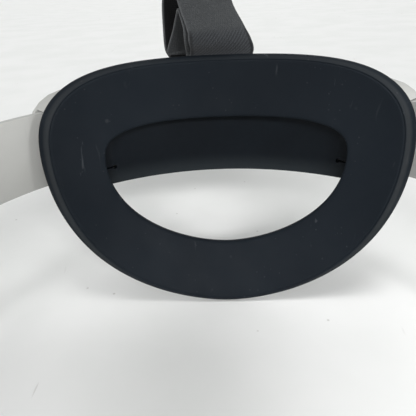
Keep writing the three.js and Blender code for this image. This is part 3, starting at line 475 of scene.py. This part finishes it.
# Each outline: half its width, the height of its widest line, how far it goes up and down from there, and
# how square it is above and below.
CRADLE_OUTLINE = {"half": 70.9, "middle": 64.5, "up": 26.9, "down": 64.5, "up_power": 2.4, "down_power": 1.9}
CRADLE_OPENING = {"half": 47.9, "middle": 57, "up": 11.2, "down": 36.5, "up_power": 3, "down_power": 1.85}
SIDE_POWER_ABOVE = 4  # how upright both outlines run above their widest line
CRADLE_STATIONS = 288
CRADLE_BACK = 3.0  # depth of the ring's back behind its face

# Section of the ring. From the opening's edge: distance outwards and depth behind the face, in mm.
OPENING_EDGE = [(0.9, 2.9), (0.3, 2.6), (0.02, 1.9), (0.0, 1.1), (0.12, 0.5), (0.45, 0.12), (1.0, 0.0)]
# From the outer edge: distance inwards in shares of the lip's width, and depth in mm. A flat face, a shallow
# groove, a raised band with a fine line along it, then the edge that rolls back.
OUTER_LIP = [
    (1.5, 0.0), (1.2, 0.0), (1.1, 0.06), (1.02, 0.24), (0.95, 0.28), (0.88, 0.14), (0.8, 0.14), (0.7, 0.24),
    (0.62, 0.38), (0.58, 0.5), (0.54, 0.54), (0.49, 0.62), (0.4, 0.9), (0.3, 1.25), (0.2, 1.65), (0.12, 2.1),
    (0.05, 2.65), (0.01, 3.2), (0.0, 3.7), (0.03, 4.3), (0.13, 4.7), (0.28, 4.6), (0.42, 4.1), (0.6, 3.5),
    (0.9, 3.05), (1.5, 3.0),
]
LIP_AT_SIDES = 2.4
LIP_AT_MIDDLE = 1.7  # at the top and the bottom
FLAT_STEPS = 14  # across the ring's face, so that it stays round
BACK_STEPS = 8
LIP_HIGHLIGHT_DEPTH = 2  # the lip's painted highlight reaches down to this depth
LIP_HIGHLIGHT_LEAST = 0.4  # at the top and the bottom; at the sides it is 1
LIP_HIGHLIGHT_FROM = (0.1, 0.3)  # where the band of painted highlight fades in and out, in lip widths in from the edge
LIP_HIGHLIGHT_TO = (0.6, 0.85)


def cup_point(along, z, depth):
    """A point on the cup, from its distance round the cradle, its height, and its depth behind the face."""
    angle = along / CRADLE_RADIUS
    lean = CUP_CURVE * max(0, CUP_TOP - z) ** 2
    radius = CRADLE_RADIUS + depth
    return point(radius * math.sin(angle), AXIS_Y + radius * math.cos(angle) - lean, z)


def signed_power(value, power):
    """The power of a value's size, with the value's sign."""
    return math.copysign(abs(value) ** power, value)


def arch_and_bowl(outline, turn):
    """A point on an outline that is a flat arch above its widest line and a rounded bowl below it."""
    c, s = math.cos(turn), math.sin(turn)
    side = SIDE_POWER_ABOVE if s > 0 else outline["down_power"]
    tall = outline["up_power"] if s > 0 else outline["down_power"]
    reach = outline["up"] if s > 0 else outline["down"]
    x = outline["half"] * signed_power(c, 2 / side)
    z = outline["middle"] + reach * signed_power(s, 2 / tall)
    return Vector((x, z))


def ring_section(inner, outer):
    """The ring cut across between its edges: places on the cup, each with its depth and its share of painted
    highlight.
    """
    width = (outer - inner).length
    outward = (outer - inner) / width
    sideways = outward.x ** 2
    lip = LIP_AT_MIDDLE + (LIP_AT_SIDES - LIP_AT_MIDDLE) * sideways
    # The lip's painted highlight is full at the sides and weaker at the top and the bottom.
    lip_highlight_strength = LIP_HIGHLIGHT_LEAST + (1 - LIP_HIGHLIGHT_LEAST) * sideways
    face_from, face_to = OPENING_EDGE[-1][0], width - OUTER_LIP[0][0] * lip
    back_to = width - OUTER_LIP[-1][0] * lip
    section = [(away, depth) for away, depth in OPENING_EDGE]
    section += [(face_from + (face_to - face_from) * k / FLAT_STEPS, 0.0) for k in range(1, FLAT_STEPS)]
    section += [(width - away * lip, depth) for away, depth in OUTER_LIP]
    section += [(face_from + (back_to - face_from) * k / BACK_STEPS, CRADLE_BACK)
                for k in range(BACK_STEPS - 1, 0, -1)]
    made = []
    for away, depth in section:
        from_edge = (width - away) / lip
        rubbed = lip_highlight_strength * smooth(from_edge, *LIP_HIGHLIGHT_FROM) * (1 - smooth(from_edge, *LIP_HIGHLIGHT_TO))
        made.append((inner + outward * away, depth, rubbed if depth < LIP_HIGHLIGHT_DEPTH else 0.0))
    return made


def make_cradle():
    """The moulded ring: thin round opening edge, broad flat face and a lip that rolls back."""
    vertices, rubbed = [], []
    columns = 0
    for i in range(CRADLE_STATIONS):
        turn = 2 * math.pi * (i + 0.5) / CRADLE_STATIONS
        section = ring_section(arch_and_bowl(CRADLE_OPENING, turn), arch_and_bowl(CRADLE_OUTLINE, turn))
        columns = len(section)
        vertices += [cup_point(place.x, place.y, depth) for place, depth, _ in section]
        # the lip's painted highlight, kept on the ring's points
        rubbed += [wear_and_highlight for _, _, wear_and_highlight in section]
    faces = tube_faces(CRADLE_STATIONS, columns, closed=True)
    ring = new_piece("cradle_ring", vertices, faces, "black_rubber", {"rubbed": rubbed})
    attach(ring, "rear_unit")
    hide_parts("head_cradle")


# ---------------------------------------------------------------- top strap

STRAP_WIDTH = 25
LAYER = 1.2
EDGE_ROUND = 0.6  # width over which the tape's edge rounds off
EDGE_DROP = 0.85  # share of the thickness that is gone at the very edge
EDGE_POWER = 2.5
RIM_HIGHLIGHT_FADE = (0.12, 0.5)  # the fade of the painted highlight along the rim, in distances from the edge
SELVAGE = 1.1  # width of the firm border along each edge
GROOVE_DEPTH = 0.07  # of the line between the border and the rest
GROOVE_HALF = (0.1, 0.35)
RIB_PITCH = 1.42  # along the tape's width
RIB_SLOPE = 0.92
RIB_HEIGHT = 0.2
RIB_LEVEL = 0.6  # share of a rib's height that lies below the plain tape's face
RIB_MARGIN = 0.6  # width beside the border over which the ribs rise
RIB_STEP = 0.36  # between the rows of points on the ribs
RIB_FADE = 0.006  # how gently the ribs begin and end, as a share of the tape's length
HOOK_FADE = 0.004
HOOK_MARGIN = (0.3, 0.8)  # where the hooks begin, in distances from the edge
ROUNDED_END = 9  # length over which the tape's free end rounds off
NARROWEST = 0.02  # square of the share of its width that is left at the very end
SEWN = (0.935, 0.975)  # the box stitch near the free end, as shares of the tape's length
SEWN_HALF = 9

# Middle of the tape: x, y, z and its turn about the vertical in degrees. Unworn, the strap flops to one
# side, so its back run leans and its front run twists above the anchor. Its end doubles back under the arch.
REAR_STRAP = [
    (0, 30, 169.6, 0), (0, 62, 170.8, 0), (0, 85, 166.6, 0), (0, 102, 159.6, 0), (-1, 117, 148.6, 4),
    (-3.5, 130.5, 136, 14), (-8.6, 142, 122, 26), (-12.2, 149, 110, 33), (-12.7, 150.5, 100, 32),
    (-12.2, 149.8, 93.4, 28), (-10, 147.7, 90.2, 16), (-7.6, 145.4, 88, 8), (-5, 142.1, 86.05, 5),
    (-2.3, 138.8, 88, 4), (-0.2, 138.5, 92, 6), (-0.8, 136.7, 96.5, 18), (-2.2, 137.3, 101, 31),
    (-5.9, 138.8, 110, 39), (-6.3, 136.5, 119, 30), (-3.6, 130, 131, 16), (-1, 116, 147, 4),
    (0, 101.2, 158, 0), (0, 84.4, 165, 0), (0, 66, 169, 0),
]
REAR_PITCH = 0.7  # between the rows of points where the tape is plain
REAR_RIBS = (0.56, 0.633)  # the ribbed stretch, as shares of the tape's length
REAR_HOOKS = (0.37, 0.552)  # the stretch whose inner face is faced with hooks
FRONT_STRAP = [
    (0, 30, 169.6, 0), (0, 8, 167.4, 0), (0, -28.4, 157.9, 0), (0, -68.4, 138.9, 0), (0, -92, 121.6, 0),
    (0, -102, 114.4, 0), (0, -107.4, 108.4, 0), (0, -107.2, 103.4, 0), (0, -103.4, 101.55, 0),
    (0, -99.6, 103.4, 0), (0, -97, 109.5, 0), (0, -90.6, 119.6, 0), (0, -67.8, 136.9, 0), (0, -28, 155.9, 0),
    (0, -4, 162.6, 0),
]
FRONT_PITCH = 0.8
FRONT_RIBS = (0.56, 0.612)
# A short tape folded over inside the rear loop.
KEEPER = [
    (-2.4, 139.9, 90.7, 5), (-2.4, 139.6, 92.4, 6), (-3, 138.3, 96.5, 18), (-4.1, 138.2, 101.4, 31),
    (-5.6, 139.2, 105.8, 35), (-6.6, 141.4, 107.7, 35), (-7.3, 144.2, 106, 34), (-9.1, 146.8, 100, 32),
    (-10.9, 148, 95, 30), (-11.6, 148.2, 92, 28), (-10, 146.6, 90.6, 17),
]
KEEPER_PITCH = 0.5
KEEPER_WIDTH = STRAP_WIDTH - 1
ACROSS_STEPS = 90
KEEPER_STEPS = 50

STITCH_PITCH = 2.4
STITCH_GAP = 0.6
STITCH_ARCH = 0.28
STITCH_SUNK = 0.12
THREAD_RADIUS = 0.2
THREAD_RINGS = 5
THREAD_SIDES = 6


class Tape:
    """A flat tape through stations: where each point across and along it lies, and which way it faces."""

    def __init__(self, stations, pitch):
        self.pitch = pitch
        rows, self.length = even_spline(stations, pitch)
        self.frames = []
        for i, row in enumerate(rows):
            before, after = rows[max(0, i - 1)], rows[min(len(rows) - 1, i + 1)]
            along = (Vector(after[:3]) - Vector(before[:3])).normalized()
            across = Vector((math.cos(row[3] * DEGREE), math.sin(row[3] * DEGREE), 0))
            self.frames.append((Vector(row[:3]), across, along.cross(across).normalized()))

    def at(self, share, sideways, proud):
        """A place in mm: a share of the length, mm to the side, and mm off the middle of the thickness."""
        position = share * (len(self.frames) - 1)
        low = min(int(position), len(self.frames) - 2)
        rest = position - low
        middle, across, out = (a.lerp(b, rest) for a, b in zip(self.frames[low], self.frames[low + 1]))
        return middle + across * sideways + out * proud


def rib_wave(sideways, distance):
    """How high a diagonal rib stands at a place on the tape, from 0 to 1."""
    return 0.5 + 0.5 * math.cos(2 * math.pi * (sideways - distance / RIB_SLOPE) / RIB_PITCH)


def within(share, stretch, fade):
    """1 inside a stretch of the tape, fading to 0 beyond its ends."""
    if not stretch:
        return 0.0
    low, high = stretch
    return smooth(share, low - fade, low + fade) * (1 - smooth(share, high - fade, high + fade))


def row_shares(tape, ribs, tab):
    """Where along the tape its rows of points lie: closest on the ribs and on the rounded end."""
    shares = [0.0]
    while shares[-1] < 1:
        fine = within(shares[-1], ribs, RIB_FADE) > 0 or (1 - shares[-1]) * tape.length < tab
        step = RIB_STEP if fine else tape.pitch
        shares.append(min(1.0, shares[-1] + step / tape.length))
    return shares


EDGE_PULL = 0.02


def across_places(steps):
    """Places across a tape from -1 to 1, slightly closer together at its edges."""
    places = []
    for j in range(steps + 1):
        even = 2 * j / steps - 1
        places.append((1 - EDGE_PULL) * even + EDGE_PULL * math.sin(even * math.pi / 2) ** 3)
    return places


def tape_height(edge, ribbed, wave):
    """How far the tape's face stands off its middle, from the distance to its edge and the rib there."""
    body = LAYER / 2 * (1 - EDGE_DROP * max(0, 1 - edge / EDGE_ROUND) ** EDGE_POWER)
    groove = GROOVE_DEPTH * (1 - smooth(abs(edge - SELVAGE), *GROOVE_HALF))
    return body - groove + RIB_HEIGHT * ribbed * (wave - RIB_LEVEL)


def half_width(half, left, tab):
    """Half the tape's width, which rounds off over the last tab millimetres."""
    if not tab or left >= tab:
        return half
    return half * math.sqrt(max(NARROWEST, 1 - (1 - left / tab) ** 2))


def tape_piece(name, tape, width, ribs=None, hooks=None, across_steps=ACROSS_STEPS, tab=0.0):
    """A woven tape with firm edges, a ribbed stretch, hooks on one face, and a rounded end."""
    vertices = []
    numbers = {"crest": [], "ribbed": [], "hooks": [], "rim": []}
    places = across_places(across_steps)
    rows = row_shares(tape, ribs, tab)
    for share in rows:
        distance = share * tape.length
        ribbed, hooked = within(share, ribs, RIB_FADE), within(share, hooks, HOOK_FADE)
        half = half_width(width / 2, tape.length - distance, tab)
        for face in (1, -1):
            for place in places[::face]:
                sideways = place * half
                edge = half - abs(sideways)
                wave = rib_wave(sideways, distance) * smooth(edge, SELVAGE, SELVAGE + RIB_MARGIN)
                vertices.append(tape.at(share, sideways, face * tape_height(edge, ribbed, wave)) * MM)
                # the rib's height, which the webbing's colour uses to paint shade into the furrows
                numbers["crest"].append(wave)
                numbers["ribbed"].append(ribbed)
                numbers["hooks"].append(hooked * smooth(edge, *HOOK_MARGIN) if face > 0 else 0.0)
                # the rim's share of the painted edge highlight
                numbers["rim"].append(1 - smooth(edge, *RIM_HIGHLIGHT_FADE))
    faces = tube_faces(len(rows), 2 * (across_steps + 1), closed=False)
    return new_piece(name, vertices, faces, "webbing", numbers)


def thread(vertices, faces, start, end, lift):
    """Adds one stitch: a short arched bead between two places, standing off along lift."""
    first = len(vertices)
    side = (end - start).normalized().cross(lift).normalized()
    for i in range(THREAD_RINGS):
        t = i / (THREAD_RINGS - 1)
        arch = math.sin(math.pi * t)
        middle = start.lerp(end, t) + lift * (STITCH_ARCH * arch - STITCH_SUNK)
        size = THREAD_RADIUS * (0.5 + 0.5 * arch)
        for j in range(THREAD_SIDES):
            turn = 2 * math.pi * j / THREAD_SIDES
            vertices.append((middle + side * size * math.cos(turn) + lift * size * math.sin(turn)) * MM)
    for face in tube_faces(THREAD_RINGS, THREAD_SIDES, closed=False):
        faces.append(tuple(first + k for k in face))


def stitches(name, tape, lines, face):
    """Stitches along lines drawn on one face of the tape, each from one (share, sideways) to another."""
    vertices, faces = [], []
    for start, end in lines:
        start, end = Vector(start), Vector(end)
        length = (tape.at(*end, 0) - tape.at(*start, 0)).length
        count = max(1, round(length / STITCH_PITCH))
        gap = STITCH_GAP / STITCH_PITCH / 2
        for i in range(count):
            a, b = start.lerp(end, (i + gap) / count), start.lerp(end, (i + 1 - gap) / count)
            low, high = tape.at(*a, face * LAYER / 2), tape.at(*b, face * LAYER / 2)
            thread(vertices, faces, low, high, (tape.at(*a, face * LAYER) - low).normalized())
    return new_piece(name, vertices, faces, "webbing", {"rim": [0.5] * len(vertices)})


def box_stitch():
    """The lines of a sewn rectangle with a cross in it."""
    low, high = SEWN
    corners = [(low, -SEWN_HALF), (low, SEWN_HALF), (high, SEWN_HALF), (high, -SEWN_HALF)]
    sides = list(zip(corners, corners[1:] + corners[:1]))
    return sides + [(corners[0], corners[2]), (corners[1], corners[3])]


def make_top_strap():
    """The strap's two tapes with their stitching, and the keeper in the rear loop."""
    rear = Tape(REAR_STRAP, REAR_PITCH)
    rear_piece = tape_piece("rear_strap_tape", rear, STRAP_WIDTH, REAR_RIBS, REAR_HOOKS, tab=ROUNDED_END)
    front = Tape(FRONT_STRAP, FRONT_PITCH)
    front_piece = tape_piece("front_strap_tape", front, STRAP_WIDTH, FRONT_RIBS, tab=ROUNDED_END)
    keeper = tape_piece("strap_keeper", Tape(KEEPER, KEEPER_PITCH), KEEPER_WIDTH, across_steps=KEEPER_STEPS)
    rear_sewn = stitches("rear_strap_stitches", rear, box_stitch(), 1)
    front_sewn = stitches("front_strap_stitches", front, box_stitch(), 1)
    for piece in (rear_piece, rear_sewn, keeper):
        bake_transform(piece)
    for piece in (front_piece, front_sewn):
        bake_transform(piece)
    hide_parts("top_strap_rear", "top_strap")
    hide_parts("top_strap_front")


# ---------------------------------------------------------------- face pad

FACE_AXIS_Y = 19 + AXIS_Y
FACE_RADIUS = 160
PAD_Z = 49  # height of its middle
PAD_OUTER = (84, 46)
PAD_INNER = (66, 31)
PAD_CORNERS = 0.62  # of its outlines: 1 would make them ellipses, and 0 rectangles
PAD_SECTION_CORNERS = 0.5
PAD_FRONT = 3.3
PAD_BACK = 18
PAD_STATIONS = 120
PAD_COLUMNS = 20
PAD_SHRINK = 1.6  # the pad is made this much too small, and the simulated air fills it out
PAD_VOXEL = 3.2
PAD_REACH = 2.2  # the farthest a point may move outwards
PAD_PRESSURE = 4
PAD_FRAMES = 20
NOSE_HEIGHT = 21
NOSE_HALF = 19
SEAM_BEHIND = 3.6  # the seam's distance behind the pad's front
SEAM_HALF = 2.2
SEAM_DEPTH = 0.9
SEAM_OUTER = (70, 36)  # farther than this from the middle, a point is on the pad's outer side


def rim_y(x):
    """Where the visor's rim lies, for a distance from the middle."""
    return FACE_AXIS_Y - math.sqrt(FACE_RADIUS ** 2 - x ** 2)


def face_outline(half, reach, turn):
    """An outline that follows the face: a rounded box with a dip for the nose."""
    c, s = math.cos(turn), math.sin(turn)
    x = half * signed_power(c, PAD_CORNERS)
    z = PAD_Z + reach * signed_power(s, PAD_CORNERS)
    nose = NOSE_HEIGHT * math.exp(-((x / NOSE_HALF) ** 2)) if s < 0 else 0
    return Vector((x, z + nose))


def pad_section(turn):
    """The pad cut across at one place round it: a rounded box of points."""
    outer, inner = face_outline(*PAD_OUTER, turn), face_outline(*PAD_INNER, turn)
    middle, reach = (outer + inner) / 2, (outer - inner) / 2
    shrink = 1 - PAD_SHRINK / reach.length
    half_deep = (PAD_BACK - PAD_FRONT) / 2
    points = []
    for j in range(PAD_COLUMNS):
        around = 2 * math.pi * j / PAD_COLUMNS
        place = middle + reach * signed_power(math.cos(around), PAD_SECTION_CORNERS) * shrink
        deep = signed_power(math.sin(around), PAD_SECTION_CORNERS) * (half_deep - PAD_SHRINK)
        points.append(point(place.x, rim_y(place.x) + PAD_FRONT + half_deep + deep, place.y))
    return points


def make_face_pad():
    """A foam ring in a knitted cover, filled out by cloth simulation under pressure."""
    vertices = []
    for i in range(PAD_STATIONS):
        vertices += pad_section(2 * math.pi * i / PAD_STATIONS)
    faces = tube_faces(PAD_STATIONS, PAD_COLUMNS, closed=True)
    pad = new_piece("face_cushion", vertices, faces, "pad_fabric")
    fill_out(pad)
    seam(pad)
    smoother = pad.modifiers.new("smoother", "SUBSURF")
    smoother.levels = smoother.render_levels = 1
    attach(pad, "visor")
    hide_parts("face_pad")


def fill_out(piece):
    """Swells a closed piece with cloth pressure, and holds every point near where it began."""
    remesh = piece.modifiers.new("remesh", "REMESH")
    remesh.mode = "VOXEL"
    remesh.voxel_size = PAD_VOXEL * MM
    apply_modifiers(piece)
    before = [v.co.copy() for v in piece.data.vertices]
    cloth = piece.modifiers.new("cloth", "CLOTH")
    cloth.settings.use_pressure = True
    cloth.settings.uniform_pressure_force = PAD_PRESSURE
    cloth.settings.effector_weights.gravity = 0
    cloth.point_cache.frame_end = PAD_FRAMES
    for step in range(1, PAD_FRAMES + 1):
        bpy.context.scene.frame_set(step)
    apply_modifiers(piece)
    bpy.context.scene.frame_set(1)
    for vertex, start in zip(piece.data.vertices, before):
        moved = vertex.co - start
        if moved.length > PAD_REACH * MM:
            vertex.co = start + moved.normalized() * PAD_REACH * MM


def apply_modifiers(piece):
    """Puts the mesh that the modifiers make in the place of the piece's own."""
    depsgraph = bpy.context.evaluated_depsgraph_get()
    made = bpy.data.meshes.new_from_object(piece.evaluated_get(depsgraph))
    piece.modifiers.clear()
    piece.data = made
    made.shade_smooth()


def seam(pad):
    """Draws the cover in along the line where its front and side panels are sewn."""
    for vertex in pad.data.vertices:
        x, y, z = vertex.co / MM
        away = abs(y - (rim_y(x) + PAD_FRONT + SEAM_BEHIND))
        if away < SEAM_HALF:
            inward = Vector((-x, 0, (PAD_Z - z) * 2)).normalized()
            outside = abs(x) > SEAM_OUTER[0] or abs(z - PAD_Z) > SEAM_OUTER[1]
            depth = SEAM_DEPTH * (1 - away / SEAM_HALF) ** 2
            vertex.co += inward * depth * MM * (1 if outside else -1)


# ---------------------------------------------------------------- carried-over nodes

# Widths of the rounded edges, by slot and, for two nodes with softer ones, by node.
EDGE_WIDTH = {"light_plastic": 0.55, "dark_plastic": 0.4, "black_rubber": 0.5, "steel": 0.2, "alloy": 0.3}
SOFT_EDGES = {"rear_inner_cover": 0.72, "front_cover": 1.2}
OTHER_EDGES = 0.25
EDGE_ANGLE = 32 * DEGREE
EDGE_SEGMENTS = 3
WELD_DISTANCE = 0.002
FLAT_ANGLE = 0.5 * DEGREE
# Nodes whose names start like this have a look of their own in place of their slot's.
SPECIAL_LOOKS = {"tracking_camera": "camera_window", "rear_inner_cover": "inner_cover_plastic"}


def finish_node(node, slot):
    """Gives a CAD node its material, welded smooth surfaces and small rounded edges."""
    node.data.materials.clear()
    node.data.materials.append(MATERIALS[slot])
    node.data.shade_smooth()
    weld = node.modifiers.new("weld", "WELD")
    weld.merge_threshold = WELD_DISTANCE * MM
    flat = node.modifiers.new("flat", "DECIMATE")
    flat.decimate_type = "DISSOLVE"
    flat.angle_limit = FLAT_ANGLE
    bevel = node.modifiers.new("edges", "BEVEL")
    bevel.limit_method = "ANGLE"
    bevel.angle_limit = EDGE_ANGLE
    bevel.width = SOFT_EDGES.get(node.name, EDGE_WIDTH.get(slot, OTHER_EDGES)) * MM
    bevel.segments = EDGE_SEGMENTS
    bevel.harden_normals = True


def finish_nodes():
    """Finishes every CAD node by its slot in the record, and gives a few their special look."""
    for part in frame["record"]["subparts"]:
        node = frame["nodes"][part["node"]]
        finish_node(node, part["material_slot"])
        for start, look in SPECIAL_LOOKS.items():
            if node.name.startswith(start):
                node.data.materials[0] = MATERIALS[look]


# ---------------------------------------------------------------- stage

ROOM_COLOUR = (0.98, 1.0, 0.99, 1)
ROOM_BRIGHTNESS = (0.84, 0.5)  # low down, where it meets the table, and overhead
ROOM_FADE = (0.03, 0.32)  # where the one gives way to the other, from 0 at the horizon to 1 overhead
TABLE_SIZE = 24000
TABLE_TOP = -0.3  # just under the headset, so that no two faces lie in one plane

# Soft suns: degrees round from the front towards the wearer's left, degrees up, strength, width in degrees.
# Right and left in their names are as the camera sees them.
SUNS = {
    "right_lamp": (65, 9, 0.55, 8),
    "left_lamp": (-65, 9, 0.3, 8),
    "back_lamp": (180, 6, 0.9, 30),
}
WINDOW_PANES = (-8, -2, 4, 10, 16, 22, 28)  # a wide low window in front, made of suns side by side
WINDOW_UP = 28
WINDOW_STRENGTH = 2.75
PANE_WIDTH = 7
SOFT_BOX = {"place": (35, 0, 380), "aim": (22, 28, 0), "size": 160, "energy": 0.08, "spread": 40}


def add_lamp(name, kind, energy):
    """A new lamp in the scene, at the origin."""
    data = bpy.data.lights.new(name, kind)
    data.energy = energy
    lamp = bpy.data.objects.new(name, data)
    bpy.context.scene.collection.objects.link(lamp)
    return lamp


def make_lamps():
    """A low window in front, weaker lamps round about, and a soft box over the head space."""
    pane = WINDOW_STRENGTH / len(WINDOW_PANES)
    suns = {f"window_{i}": (around, WINDOW_UP, pane, PANE_WIDTH) for i, around in enumerate(WINDOW_PANES)}
    for name, (around, up, strength, width) in (SUNS | suns).items():
        sun = add_lamp(name, "SUN", strength)
        sun.data.angle = width * DEGREE
        sun.rotation_euler = ((90 - up) * DEGREE, 0, around * DEGREE)
    box = add_lamp("soft_box", "AREA", SOFT_BOX["energy"])
    box.data.size = SOFT_BOX["size"] * MM
    box.data.spread = SOFT_BOX["spread"] * DEGREE
    box.location = point(*SOFT_BOX["place"])
    box.rotation_euler = (point(*SOFT_BOX["aim"]) - box.location).to_track_quat("-Z", "Y").to_euler()


def make_room():
    """A pale room that is brightest low down, so that the table runs into it."""
    world = bpy.data.worlds.new("room")
    world.use_nodes = True
    tree = world.node_tree
    place = tree.nodes.new("ShaderNodeTexCoord")
    axes = tree.nodes.new("ShaderNodeSeparateXYZ")
    fade = tree.nodes.new("ShaderNodeMapRange")
    fade.interpolation_type = "SMOOTHSTEP"
    fade.inputs["From Min"].default_value, fade.inputs["From Max"].default_value = ROOM_FADE
    fade.inputs["To Min"].default_value, fade.inputs["To Max"].default_value = ROOM_BRIGHTNESS
    background = tree.nodes["Background"]
    background.inputs["Color"].default_value = ROOM_COLOUR
    tree.links.new(place.outputs["Generated"], axes.inputs["Vector"])
    tree.links.new(axes.outputs["Z"], fade.inputs["Value"])
    tree.links.new(fade.outputs["Result"], background.inputs["Strength"])
    bpy.context.scene.world = world


def make_stage():
    """A white table in a pale room."""
    bpy.context.scene.view_settings.view_transform = "Standard"
    bpy.ops.mesh.primitive_plane_add(size=TABLE_SIZE * MM, location=point(0, 0, TABLE_TOP))
    table = bpy.context.object
    table.name = "table"
    table.data.materials.append(paper_floor())
    make_room()
    make_lamps()


# ---------------------------------------------------------------- the whole headset

make_camera()
MATERIALS = make_materials()
finish_nodes()
make_cradle()
make_top_strap()
make_face_pad()
make_stage()
